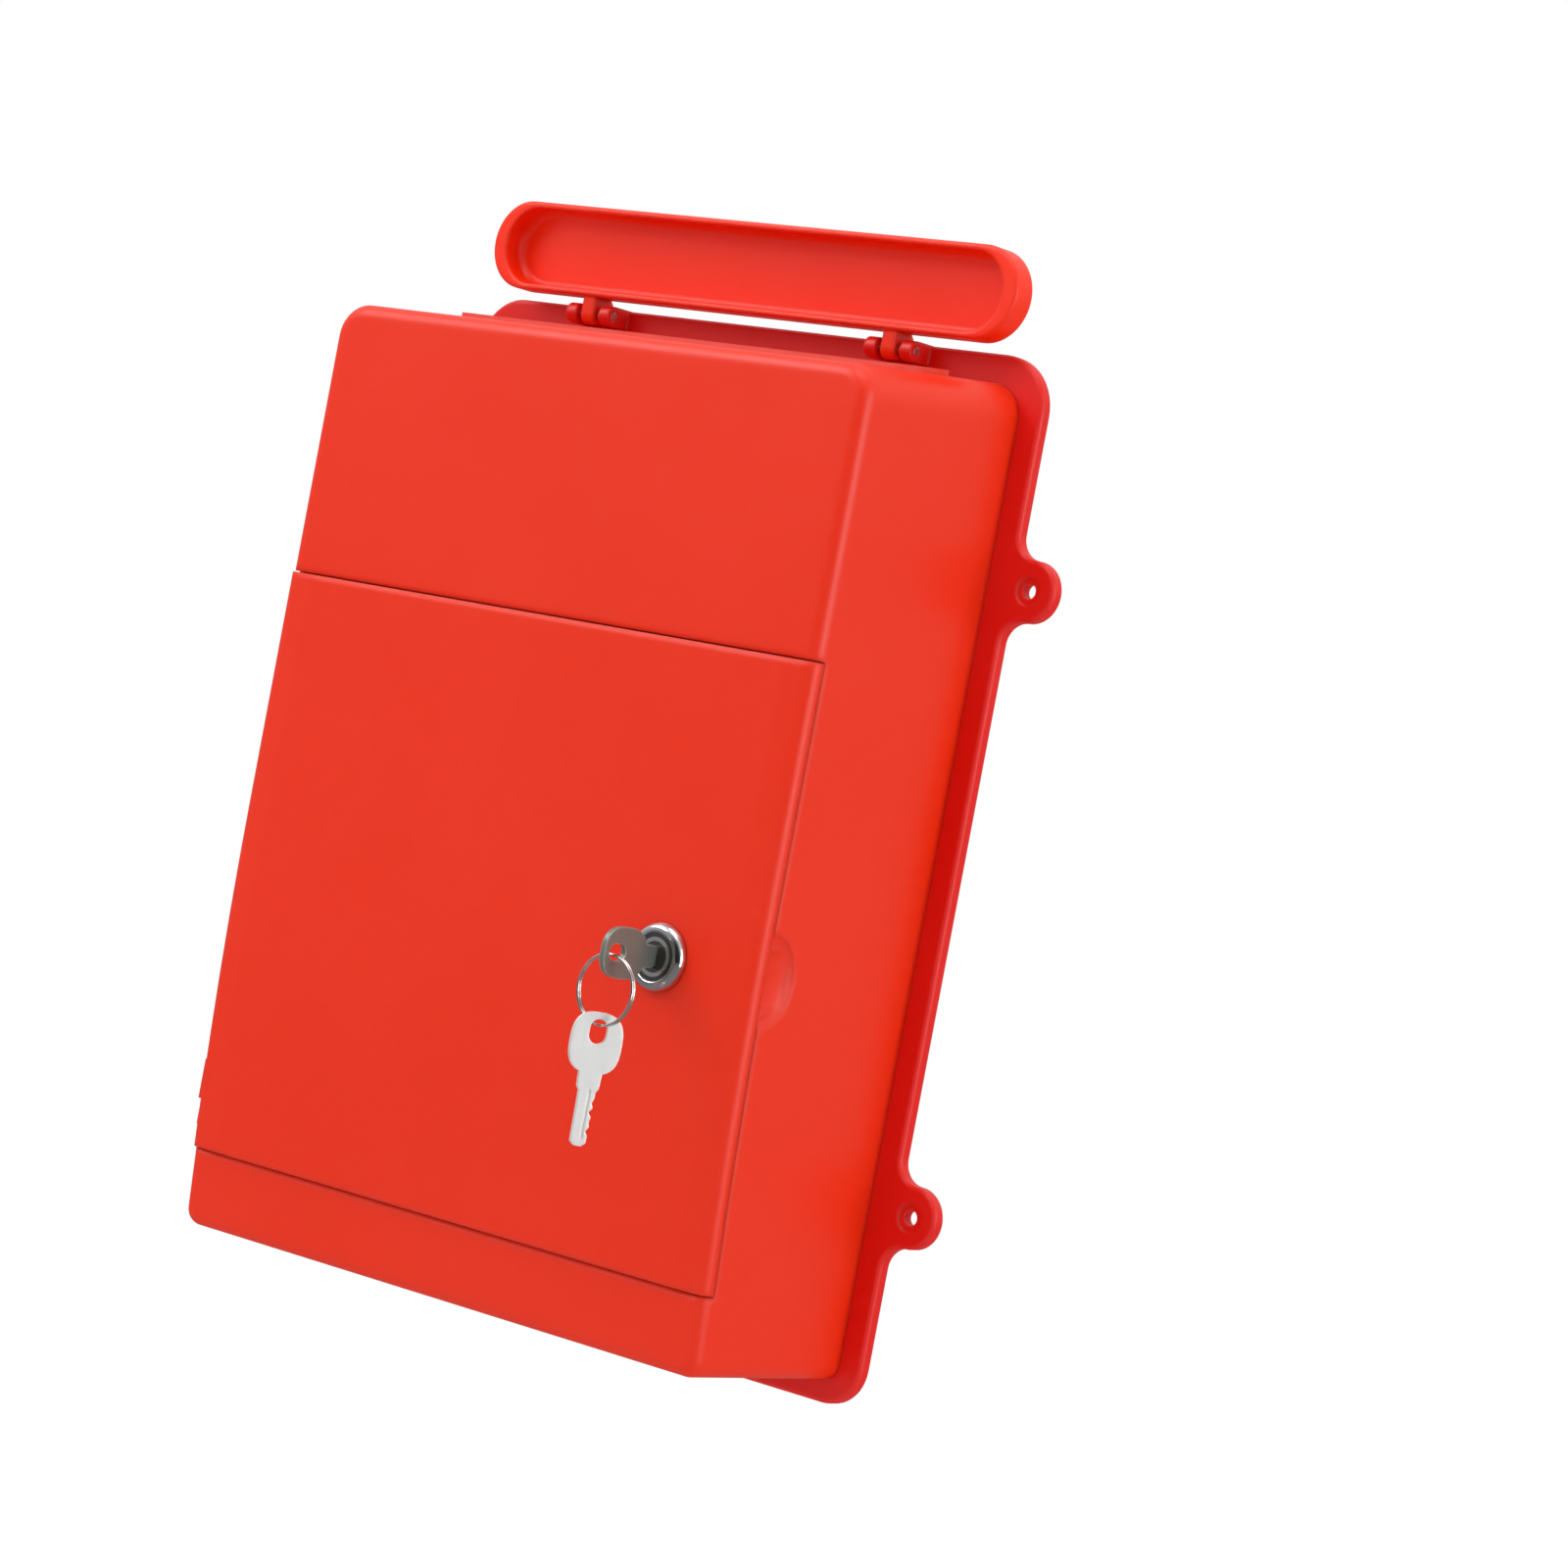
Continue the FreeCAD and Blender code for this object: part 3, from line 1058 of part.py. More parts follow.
PARTS = [
    make_back_plate(),
    make_front_shell(),
    make_door(),
    make_slot_flap(),
    make_flap_pin("flap_pin_right", ""),
    make_flap_pin("flap_pin_left", "-"),
    make_hinge_pin("hinge_pin_high", HINGE_HIGH),
    make_hinge_pin("hinge_pin_low", HINGE_LOW),
    make_lock_housing(),
    make_nut(),
    make_nut_washer(),
    make_plug(),
    make_wafers(),
    make_cam(),
    make_cam_washer(),
    make_cam_screw(),
    make_shell_screws(),
    make_inserted_key(),
    make_key_ring(),
    make_hanging_key(),
]
doc.recompute()
check_and_write(PARTS)
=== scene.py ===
# %% [markdown]
# # Dressing a wall mounted post box
#
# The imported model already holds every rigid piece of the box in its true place: the moulded
# shell, the door, the flap, the lock and its keys. This lesson leaves those shapes alone and
# gives them what a drawing of solids can't: moulded plastic, plated metal, a cut screw thread
# and a sprung ring of wire. It is also where the picture is set up.
#
# Everything is in metres. The origin is the middle of the four fixing holes on the wall, +X is
# to the viewer's right, +Y goes into the wall and +Z is up.

# %% Load the fixed frame
import json
import math

import bmesh
import bpy
import numpy as np
from mathutils import Matrix, Vector


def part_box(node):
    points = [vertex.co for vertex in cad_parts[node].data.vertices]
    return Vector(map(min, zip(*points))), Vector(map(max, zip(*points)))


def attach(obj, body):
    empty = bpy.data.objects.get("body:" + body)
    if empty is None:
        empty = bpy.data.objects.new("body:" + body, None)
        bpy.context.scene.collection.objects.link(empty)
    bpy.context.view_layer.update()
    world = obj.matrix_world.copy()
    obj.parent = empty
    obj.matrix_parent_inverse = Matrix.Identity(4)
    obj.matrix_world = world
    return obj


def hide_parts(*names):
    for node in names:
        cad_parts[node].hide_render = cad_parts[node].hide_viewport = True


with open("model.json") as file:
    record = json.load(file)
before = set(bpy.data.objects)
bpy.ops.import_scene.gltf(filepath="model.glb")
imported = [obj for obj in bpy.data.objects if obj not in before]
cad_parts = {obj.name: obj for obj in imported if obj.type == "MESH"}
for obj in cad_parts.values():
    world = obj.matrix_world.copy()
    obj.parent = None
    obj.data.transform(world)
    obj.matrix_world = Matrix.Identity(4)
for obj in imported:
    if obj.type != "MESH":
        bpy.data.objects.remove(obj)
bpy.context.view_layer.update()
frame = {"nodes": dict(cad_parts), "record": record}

MM = 0.001
nodes = frame["nodes"]

# %% [markdown]
# ## The camera
#
# A picture of a product is matched first by its viewing angle. The camera could be placed by eye,
# but the box has long straight edges, so its place was worked out from where those edges and the
# fixing ears fall. It stands to the right of the box, almost level with it, and it is rolled, so
# the box leans in the picture.

# %% Place the camera
CAMERA_PLACE = Vector((1.0193, -1.1990, 0.0440))
HEADING = math.radians(39.02)
ELEVATION = math.radians(0.62)
ROLL = math.radians(10.69)
SENSOR_MM = 36.0
LENS_MM = 4578.5 / 1600 * SENSOR_MM

back = Vector((math.sin(HEADING) * math.cos(ELEVATION),
               -math.cos(HEADING) * math.cos(ELEVATION), math.sin(ELEVATION)))
level = Vector((math.cos(HEADING), math.sin(HEADING), 0))
upright = back.cross(level)
across = level * math.cos(ROLL) + upright * math.sin(ROLL)
upwards = upright * math.cos(ROLL) - level * math.sin(ROLL)
camera_data = bpy.data.cameras.new("camera")
camera_data.sensor_width = SENSOR_MM
camera_data.lens = LENS_MM
camera_data.clip_start = 0.05
camera = bpy.data.objects.new("camera", camera_data)
turned = Matrix((across, upwards, back)).transposed().to_4x4()
camera.matrix_world = Matrix.Translation(CAMERA_PLACE) @ turned
bpy.context.scene.collection.objects.link(camera)
bpy.context.scene.camera = camera
print("camera %.2f m from the box, lens %.0f mm" % (CAMERA_PLACE.length, LENS_MM))

# %% [markdown]
# ## Light and surroundings
#
# The picture is a catalogue shot: even light on the front and the side, and pure white all round.
# The white isn't made with more light, which would bleach the red. The world and the floor simply
# look white to the camera, while the lamps stay at a level where a colour looks as it is written.
# Two large lamps stand wide apart, one to the left and one to the right. Between them a rounded
# corner turns away from both, so it shows a darker band, and then a bright one where it mirrors
# the right lamp. What is mirrored is shaded from bright above to dark below, because a glossy
# thing in an evenly white room has no shape. In front, where the viewer stands, the room is dark,
# and a narrow strip at the right is seen in reflections only: between them they draw each upright
# rounded edge as a dark line beside a bright one.

# %% Light the scene
scene = bpy.context.scene
scene.view_settings.view_transform = "Standard"


def softbox(name, heading, height, reach, size, watts, tall=None):
    """A lamp facing the object, square unless it is tall. Its heading is in degrees from the front
    towards the right, its height in degrees above level, its reach the distance in metres."""
    turn, climb = math.radians(heading), math.radians(height)
    place = reach * Vector((math.sin(turn) * math.cos(climb), -math.cos(turn) * math.cos(climb),
                            math.sin(climb)))
    data = bpy.data.lights.new(name, "AREA")
    data.shape = "RECTANGLE"
    data.size = size
    data.size_y = tall or size
    data.energy = watts
    lamp = bpy.data.objects.new(name, data)
    aim = (-place).to_track_quat("-Z", "Y").to_matrix().to_4x4()
    lamp.matrix_world = Matrix.Translation(place) @ aim
    scene.collection.objects.link(lamp)
    return lamp


lamps = [
    softbox("left_light", -44, 36, 2.6, 1.2, 22.5),
    softbox("right_light", 96, 15, 2.4, 1.6, 16),
    softbox("top_light", 20, 72, 2.4, 1.4, 15),
    softbox("edge_strip", 82, 0, 2.2, 0.5, 9, tall=1.1),
]
lamps[-1].visible_diffuse = False
print("lamps: %s" % ", ".join(lamp.name for lamp in lamps))

# %% [markdown]
# Shader trees are built in code here, so that each one can be read as text. A few short functions
# keep that text short: they add a node, feed its inputs and hand back what comes out.

# %% Node helpers


def feed(tree, node, inputs):
    """Links each input that is given a socket, and sets any other."""
    for key, value in inputs.items():
        if isinstance(value, bpy.types.NodeSocket):
            tree.links.new(value, node.inputs[key])
        else:
            node.inputs[key].default_value = value
    return node


def add(tree, kind, inputs=None, **settings):
    """Adds a shader node with its settings and its inputs."""
    node = tree.nodes.new("ShaderNode" + kind)
    for name, value in settings.items():
        setattr(node, name, value)
    return feed(tree, node, inputs or {})


def calc(tree, operation, first, second=0.0, clamp=False):
    """The result of a Math node."""
    node = add(tree, "Math", {0: first, 1: second}, operation=operation, use_clamp=clamp)
    return node.outputs[0]


def ramp(tree, value, low, high, start, finish):
    """A value between low and high carried to start and finish, and held beyond them."""
    node = add(tree, "MapRange", {"Value": value, "From Min": low, "From Max": high,
                                  "To Min": start, "To Max": finish})
    return node.outputs["Result"]


def mixed(tree, share, first, second):
    """A colour between two colours."""
    return add(tree, "Mix", {0: share, 6: first, 7: second}, data_type="RGBA").outputs[2]


def rgba(red, green, blue):
    return (red, green, blue, 1.0)


# %% [markdown]
# The world plays three parts. The camera sees it as plain white. Rough surfaces are lit by a soft
# sky. Glossy ones mirror a shaded room, dark in front, which draws the edges.

# %% Make the world
WHITE = rgba(1, 1, 1)
DARK_SIDE = (0.34, -0.94, 0.0)
SKY = (0.45, 0.85)
MIRRORED_SKY = (0.06, 0.72)
world = bpy.data.worlds.new("studio")
scene.world = world
world.use_nodes = True
tree = world.node_tree
tree.nodes.clear()
direction = add(tree, "TexCoord").outputs["Generated"]
height = add(tree, "SeparateXYZ", {0: direction}).outputs["Z"]
sky = ramp(tree, height, -0.5, 0.6, *SKY)
rays = add(tree, "LightPath").outputs
towards_dark = add(tree, "VectorMath", {0: direction, 1: DARK_SIDE}, operation="DOT_PRODUCT")
mirrored = calc(tree, "MULTIPLY", ramp(tree, height, -0.35, 0.5, *MIRRORED_SKY),
                ramp(tree, towards_dark.outputs["Value"], 0.5, 0.85, 1.0, 0.05))
kinds = add(tree, "Mix", {0: rays["Is Glossy Ray"], 2: sky, 3: mirrored}).outputs[0]
strength = calc(tree, "MAXIMUM", kinds, rays["Is Camera Ray"])
background = add(tree, "Background", {"Color": WHITE, "Strength": strength})
output = tree.nodes.new("ShaderNodeOutputWorld")
tree.links.new(background.outputs[0], output.inputs["Surface"])
print("the world looks white and lights with %.2f to %.2f" % SKY)

# %% [markdown]
# The floor lights the box from below as pale board does, and shows its shadow. To the camera it is
# nearly all plain white, and in the lacquer it is mirrored darker, as the dim floor of a room.

# %% Lay the floor
FLOOR_DROP = 0.62
FLOOR_HALF = 6.0
BOARD = rgba(0.82, 0.82, 0.82)
MIRRORED_BOARD = rgba(0.17, 0.17, 0.17)
WHITE_SHARE = 0.94
WHITE_STRENGTH = 1.03
floor_mesh = bpy.data.meshes.new("floor")
corners = FLOOR_HALF * np.array([(-1, -1), (1, -1), (1, 1), (-1, 1)])
floor_mesh.from_pydata([(x, y, -FLOOR_DROP) for x, y in corners.tolist()], [], [(0, 1, 2, 3)])
floor = bpy.data.objects.new("floor", floor_mesh)
scene.collection.objects.link(floor)
pale = bpy.data.materials.new("pale_floor")
pale.use_nodes = True
tree = pale.node_tree
tree.nodes.clear()
rays = add(tree, "LightPath").outputs
seen = mixed(tree, rays["Is Glossy Ray"], BOARD, MIRRORED_BOARD)
matt = add(tree, "BsdfDiffuse", {"Color": seen})
white = add(tree, "Emission", {"Color": WHITE, "Strength": WHITE_STRENGTH})
cast = add(tree, "MixShader", {0: calc(tree, "MULTIPLY", rays["Is Camera Ray"], WHITE_SHARE),
                               1: matt.outputs[0], 2: white.outputs[0]})
output = tree.nodes.new("ShaderNodeOutputMaterial")
tree.links.new(cast.outputs[0], output.inputs["Surface"])
floor_mesh.materials.append(pale)
print("floor %.0f cm below the fixing holes' middle" % (FLOOR_DROP * 100))

# %% [markdown]
# ## What every finish shares: the softened edge
#
# No real edge is perfectly sharp. A moulded corner has a radius of a few tenths of a millimetre,
# and a plated one is polished by handling. Rounding every edge of the mesh would be one way, but
# it multiplies the faces. A Bevel node does it in the shader: it looks a short way round each
# point and bends the normal over the edge. Where the bent normal leaves the true one there is an
# edge, and that difference is also the mask for a painted highlight along it, broken up by noise.
# The large mouldings get a wide reach, because their corners are broad, and small metal pieces a
# narrow one.

# %% Build the edge group


def new_group(name, inputs, outputs):
    """An empty shader node group with named sockets, and its two end nodes."""
    group = bpy.data.node_groups.new(name, "ShaderNodeTree")
    for label, kind, value in inputs:
        socket = group.interface.new_socket(name=label, in_out="INPUT", socket_type="NodeSocket" + kind)
        socket.default_value = value
    for label, kind in outputs:
        group.interface.new_socket(name=label, in_out="OUTPUT", socket_type="NodeSocket" + kind)
    return group, group.nodes.new("NodeGroupInput").outputs, group.nodes.new("NodeGroupOutput").inputs


edge_group, given, result = new_group(
    "softened_edge",
    [("Width", "Float", 0.6 * MM), ("Gain", "Float", 5.0), ("Breakup", "Float", 0.4)],
    [("Mask", "Float"), ("Normal", "Vector")])
bevel = add(edge_group, "Bevel", {"Radius": given["Width"]}, samples=6)
true_normal = add(edge_group, "NewGeometry").outputs["Normal"]
agreement = add(edge_group, "VectorMath", {0: bevel.outputs[0], 1: true_normal}, operation="DOT_PRODUCT")
bend = calc(edge_group, "SUBTRACT", 1.0, agreement.outputs["Value"])
raw = calc(edge_group, "MULTIPLY", bend, given["Gain"], clamp=True)
spots = add(edge_group, "TexNoise", {"Vector": add(edge_group, "TexCoord").outputs["Object"],
                                    "Scale": 160.0, "Detail": 3.0})
holes = ramp(edge_group, spots.outputs["Fac"], 0.35, 0.65, 0.0, 1.0)
kept = calc(edge_group, "SUBTRACT", 1.0, calc(edge_group, "MULTIPLY", holes, given["Breakup"]))
edge_group.links.new(calc(edge_group, "MULTIPLY", raw, kept), result["Mask"])
edge_group.links.new(bevel.outputs[0], result["Normal"])
print("group %s: %d nodes" % (edge_group.name, len(edge_group.nodes)))

# %% [markdown]
# ## Moulded plastic
#
# The shell, door, flap and back plate are one family of mouldings in the same red. A moulding is
# never an even mirror: the melt sinks a little over ribs and thick corners, the tool leaves a very
# fine satin grain, and handling leaves faint duller patches. One noise texture could stand for all
# of it, but these marks differ in size by a hundred times, so the group has one texture for each:
# slow waves in the surface, a fine grain, and patches in the gloss.

# %% Build the moulded skin group
skin_group, given, result = new_group(
    "moulded_skin",
    [("Colour", "Color", rgba(0.8, 0.02, 0.01)), ("Gloss Loss", "Float", 0.34), ("Grain", "Float", 1.0)],
    [("Colour", "Color"), ("Roughness", "Float"), ("Height", "Float")])
spot = add(skin_group, "TexCoord").outputs["Object"]
slow = add(skin_group, "TexNoise", {"Vector": spot, "Scale": 14.0, "Detail": 2.0, "Roughness": 0.4})
patches = add(skin_group, "TexNoise", {"Vector": spot, "Scale": 45.0, "Detail": 4.0, "Roughness": 0.6})
grain = add(skin_group, "TexNoise", {"Vector": spot, "Scale": 1500.0, "Detail": 2.0, "Roughness": 0.5})
darker = add(skin_group, "HueSaturation", {"Color": given["Colour"], "Value": 0.985, "Saturation": 1.01})
tinted = mixed(skin_group, ramp(skin_group, slow.outputs["Fac"], 0.35, 0.65, 0.0, 1.0),
               given["Colour"], darker.outputs[0])
skin_group.links.new(tinted, result["Colour"])
dull = ramp(skin_group, patches.outputs["Fac"], 0.35, 0.7, -0.015, 0.03)
fine = ramp(skin_group, grain.outputs["Fac"], 0.3, 0.7, -0.02, 0.02)
rough = calc(skin_group, "ADD", given["Gloss Loss"], calc(skin_group, "ADD", dull, fine))
skin_group.links.new(rough, result["Roughness"])
waves = calc(skin_group, "MULTIPLY", slow.outputs["Fac"], 2.5)
relief = calc(skin_group, "ADD", waves, calc(skin_group, "MULTIPLY", grain.outputs["Fac"], given["Grain"]))
skin_group.links.new(relief, result["Height"])
print("group %s: %d nodes" % (skin_group.name, len(skin_group.nodes)))

# %% [markdown]
# The group gives the surface, and the shader gives the material: a plastic that mirrors faintly,
# and lets red light wander a little below the skin. Four materials could share one red, but the
# pieces don't look alike. The flap is thin and catches the light, so its red is painted brighter, a
# painted highlight. The back plate, moulded on its own, sits in the shade beside the shell, so its
# red is painted deeper, a painted shade.

# %% Make the four reds


def placed(tree, group, values):
    """A node group placed in a material with its own values."""
    return feed(tree, add(tree, "Group", node_tree=group), values).outputs


def new_material(name):
    """A material with an empty tree and a Principled shader on its output."""
    material = bpy.data.materials.new(name)
    material.use_nodes = True
    tree = material.node_tree
    tree.nodes.clear()
    shader = tree.nodes.new("ShaderNodeBsdfPrincipled")
    output = tree.nodes.new("ShaderNodeOutputMaterial")
    tree.links.new(shader.outputs[0], output.inputs["Surface"])
    return material, tree, shader.inputs


PLASTIC_IOR = 1.49
LIGHT_REACH = 1.8 * MM
REACH_OF_COLOURS = (1.0, 0.10, 0.05)
EDGE_HIGHLIGHT_SHARE = 0.22
SKIN_DEPTH = 0.006 * MM


def moulded(name, colour, highlight_colour, gloss_loss, grain, edge_width):
    """Red plastic: skin, softened edges and a painted highlight, a paler line along each edge. Red
    light travels a millimetre or two in it, far beyond green and blue."""
    material, tree, shader = new_material(name)
    skin = placed(tree, skin_group, {"Colour": colour, "Gloss Loss": gloss_loss, "Grain": grain})
    edge = placed(tree, edge_group, {"Width": edge_width * MM, "Gain": 4.0, "Breakup": 0.25})
    # Painted highlight: the edge mask carries the base colour part way to the paler edge colour.
    painted_highlight = calc(tree, "MULTIPLY", edge["Mask"], EDGE_HIGHLIGHT_SHARE)
    tree.links.new(mixed(tree, painted_highlight, skin["Colour"], highlight_colour), shader["Base Color"])
    tree.links.new(skin["Roughness"], shader["Roughness"])
    bump = add(tree, "Bump", {"Height": skin["Height"], "Normal": edge["Normal"],
                              "Strength": 1.0, "Distance": SKIN_DEPTH})
    tree.links.new(bump.outputs[0], shader["Normal"])
    shader["IOR"].default_value = PLASTIC_IOR
    shader["Specular IOR Level"].default_value = 0.42
    shader["Subsurface Weight"].default_value = 0.4
    shader["Subsurface Radius"].default_value = REACH_OF_COLOURS
    shader["Subsurface Scale"].default_value = LIGHT_REACH
    return material


# The flap's red is a painted highlight on the plain red, the back plate's red a painted shade, and the edge
# red the colour of the painted edge highlight.
RED = rgba(0.79, 0.024, 0.002)
RED_PAINTED_LIT = rgba(0.90, 0.027, 0.003)
RED_PAINTED_SHADE = rgba(0.72, 0.008, 0.004)
RED_EDGE_HIGHLIGHT = rgba(0.98, 0.11, 0.06)
finishes = {
    "red_shell": moulded("red_shell_finish", RED, RED_EDGE_HIGHLIGHT, 0.36, 1.0, 3.5),
    "red_door": moulded("red_door_finish", RED, RED_EDGE_HIGHLIGHT, 0.34, 0.8, 3.5),
    "red_flap": moulded("red_flap_finish", RED_PAINTED_LIT, RED_EDGE_HIGHLIGHT, 0.34, 1.0, 2.0),
    "red_plate": moulded("red_plate_finish", RED_PAINTED_SHADE, RED_EDGE_HIGHLIGHT, 0.38, 1.3, 1.5),
}
print("moulded finishes: %s" % ", ".join(finishes))

# %% [markdown]
# ## Plated and stamped metal
#
# Small metal pieces differ by how they were made. The lock's bezel is chromed and only faintly
# swirled by polishing. The plug was turned, so its face has fine rings round the lock's axis.
# Keys, the cam and washers are stamped from sheet, and show straight brush lines along their
# length. A Wave texture would give perfectly regular lines, so stretched noise is used instead:
# noise that is very long in one direction looks like brushing, and noise that depends only on the
# distance from an axis looks like turning.

# %% Build the metal groups
brushed_group, given, result = new_group(
    "brushed_lines",
    [("Vector", "Vector", (0, 0, 0)), ("Depth", "Float", 1.0), ("Roughness", "Float", 0.25)],
    [("Tone", "Float"), ("Roughness", "Float"), ("Height", "Float")])
lines = add(brushed_group, "TexNoise", {"Vector": given["Vector"], "Scale": 1.0, "Detail": 3.0})
stains = add(brushed_group, "TexNoise", {"Vector": add(brushed_group, "TexCoord").outputs["Object"],
                                        "Scale": 220.0, "Detail": 4.0})
brushed_group.links.new(ramp(brushed_group, stains.outputs["Fac"], 0.35, 0.7, 1.0, 0.86), result["Tone"])
spread = ramp(brushed_group, lines.outputs["Fac"], 0.3, 0.7, -0.07, 0.07)
brushed_group.links.new(calc(brushed_group, "ADD", given["Roughness"], spread), result["Roughness"])
brushed_group.links.new(calc(brushed_group, "MULTIPLY", lines.outputs["Fac"], given["Depth"]),
                        result["Height"])
print("group %s: %d nodes" % (brushed_group.name, len(brushed_group.nodes)))

# %% Make the metals
LOCK_SPOT = (0.081, -0.0875, -0.0345)
HIGHLIGHT_RING_BLUR = 0.2
STAINED = 0.7
LINE_DEPTH = 0.004 * MM


def straight_lines(tree, stretch):
    """Object coordinates, scaled so that noise is long where the scale is small."""
    mapping = add(tree, "Mapping", {"Vector": add(tree, "TexCoord").outputs["Object"], "Scale": stretch})
    return mapping.outputs[0]


def lock_reach(tree):
    """The distance from the lock's axis."""
    centred = add(tree, "VectorMath", {0: add(tree, "TexCoord").outputs["Object"], 1: LOCK_SPOT},
                  operation="SUBTRACT")
    flat = add(tree, "VectorMath", {0: centred.outputs[0], 1: (1.0, 0.0, 1.0)}, operation="MULTIPLY")
    return add(tree, "VectorMath", {0: flat.outputs[0]}, operation="LENGTH").outputs["Value"]


def turned_rings(tree, density):
    """A coordinate that changes only with the distance from the lock's axis."""
    return add(tree, "CombineXYZ", {0: calc(tree, "MULTIPLY", lock_reach(tree), density)}).outputs[0]


def painted_highlight_ring(tree, inner, outer):
    """Painted highlight ring: one between two distances from the lock's axis, in millimetres, and
    nothing elsewhere.
    """
    reach = lock_reach(tree)
    rise = ramp(tree, reach, (inner - HIGHLIGHT_RING_BLUR) * MM, (inner + HIGHLIGHT_RING_BLUR) * MM, 0.0, 1.0)
    fall = ramp(tree, reach, (outer - HIGHLIGHT_RING_BLUR) * MM, (outer + HIGHLIGHT_RING_BLUR) * MM, 1.0, 0.0)
    return calc(tree, "MULTIPLY", rise, fall)


def metal(name, colour, highlight_colour, roughness, depth, pattern, *values,
          bare=1.0, edge_width=0.25, highlight_ring=None):
    """A plated or bare metal with its own direction of fine lines and softened edges, which carry a
    painted highlight. The share that isn't bare is a dull film, which scatters light as paint does.
    A highlight ring is a ring of painted highlight round the lock's axis."""
    material, tree, shader = new_material(name)
    lines = placed(tree, brushed_group, {"Vector": pattern(tree, *values), "Depth": depth,
                                         "Roughness": roughness})
    edge = placed(tree, edge_group, {"Width": edge_width * MM, "Gain": 4.0, "Breakup": 0.5})
    toned = mixed(tree, lines["Tone"], rgba(*(STAINED * part for part in colour[:3])), colour)
    # Painted highlight: a bright ring on the plug's face.
    if highlight_ring:
        toned = mixed(tree, painted_highlight_ring(tree, *highlight_ring), toned, highlight_colour)
    # Painted highlight along the edges: the edge mask mixes the colour towards the brighter edge colour.
    tree.links.new(mixed(tree, edge["Mask"], toned, highlight_colour), shader["Base Color"])
    tree.links.new(lines["Roughness"], shader["Roughness"])
    bump = add(tree, "Bump", {"Height": lines["Height"], "Normal": edge["Normal"],
                              "Strength": 1.0, "Distance": LINE_DEPTH})
    tree.links.new(bump.outputs[0], shader["Normal"])
    shader["Metallic"].default_value = bare
    return material


ALONG_Z = (2500.0, 2500.0, 60.0)
ALONG_Y = (2500.0, 60.0, 2500.0)
finishes.update({
    "lock_chrome": metal("chrome_finish", rgba(0.68, 0.69, 0.70), rgba(0.9, 0.9, 0.9),
                         0.12, 0.3, turned_rings, 1500.0),
    # The plug's dark colour is a painted dark reflection, and its bright ring a painted highlight.
    "plug_steel": metal("turned_plug_finish", rgba(0.17, 0.16, 0.17), rgba(0.70, 0.70, 0.70),
                        0.26, 1.5, turned_rings, 4000.0, highlight_ring=(5.2, 6.5)),
    "lock_steel": metal("zinc_nut_finish", rgba(0.66, 0.67, 0.66), rgba(0.8, 0.8, 0.8),
                        0.30, 1.0, turned_rings, 3000.0),
    "cam_steel": metal("zinc_cam_finish", rgba(0.66, 0.66, 0.63), rgba(0.8, 0.8, 0.78),
                       0.30, 1.0, straight_lines, ALONG_Z),
    "pin_steel": metal("bright_pin_finish", rgba(0.70, 0.70, 0.70), rgba(0.8, 0.8, 0.8),
                       0.24, 0.6, straight_lines, ALONG_Z),
    "wafer_brass": metal("brass_wafer_finish", rgba(0.80, 0.60, 0.28), rgba(0.9, 0.72, 0.4),
                         0.28, 1.0, straight_lines, ALONG_Z),
    "key_nickel": metal("nickel_key_finish", rgba(0.88, 0.89, 0.88), rgba(0.92, 0.80, 0.62),
                        0.46, 0.7, straight_lines, ALONG_Z, bare=0.55, edge_width=0.5),
    # The key in the lock: its dark colour is a painted dark reflection, and its pale edges a painted
    # highlight.
    "dark_reflection_nickel": metal("dark_reflection_nickel_finish", rgba(0.20, 0.22, 0.19), rgba(0.95, 0.92, 0.88),
                         0.40, 0.7, straight_lines, ALONG_Z, bare=0.45, edge_width=0.5),
    "ring_steel": metal("bright_wire_finish", rgba(0.76, 0.75, 0.73), rgba(0.86, 0.85, 0.82),
                        0.16, 0.5, straight_lines, ALONG_Y),
})
print("metal finishes: %d" % sum(1 for name in finishes if not name.startswith("red")))

# %% [markdown]
# ## Hand the finishes to the CAD pieces
#
# The record names a material slot for every node. The finish goes into the slots of the node's
# own object, so its shape and place stay as they were packed.

# %% Assign finishes
slot_of = {entry["node"]: entry["material_slot"] for entry in frame["record"]["subparts"]}
for name, piece in nodes.items():
    for holder in piece.material_slots:
        holder.material = finishes[slot_of[name]]
    if not piece.material_slots:
        piece.data.materials.append(finishes[slot_of[name]])
print("%d nodes carry their finish" % len(nodes))

# %% [markdown]
# ## The key ring
#
# The CAD ring is one closed wire. The real one is a split ring: the wire goes round twice, and
# steps from the first turn to the second at one place, where both ends lie. It could be a curve
# with a bevel, but a numpy tube shows the idea better: a path in space, a circle carried along it,
# and all the points worked out at once.

# %% Mesh helpers


def grid_faces(rows, columns, wrap_rows=False):
    """Quads of a grid whose columns go round: each joins a point to its neighbours on the next
    column and the next row. With wrap_rows the last row joins the first."""
    last = rows if wrap_rows else rows - 1
    row = np.repeat(np.arange(last), columns)
    column = np.tile(np.arange(columns), last)
    following = (column + 1) % columns
    above = (row + 1) % rows
    return np.stack([row * columns + column, row * columns + following,
                     above * columns + following, above * columns + column], axis=1)


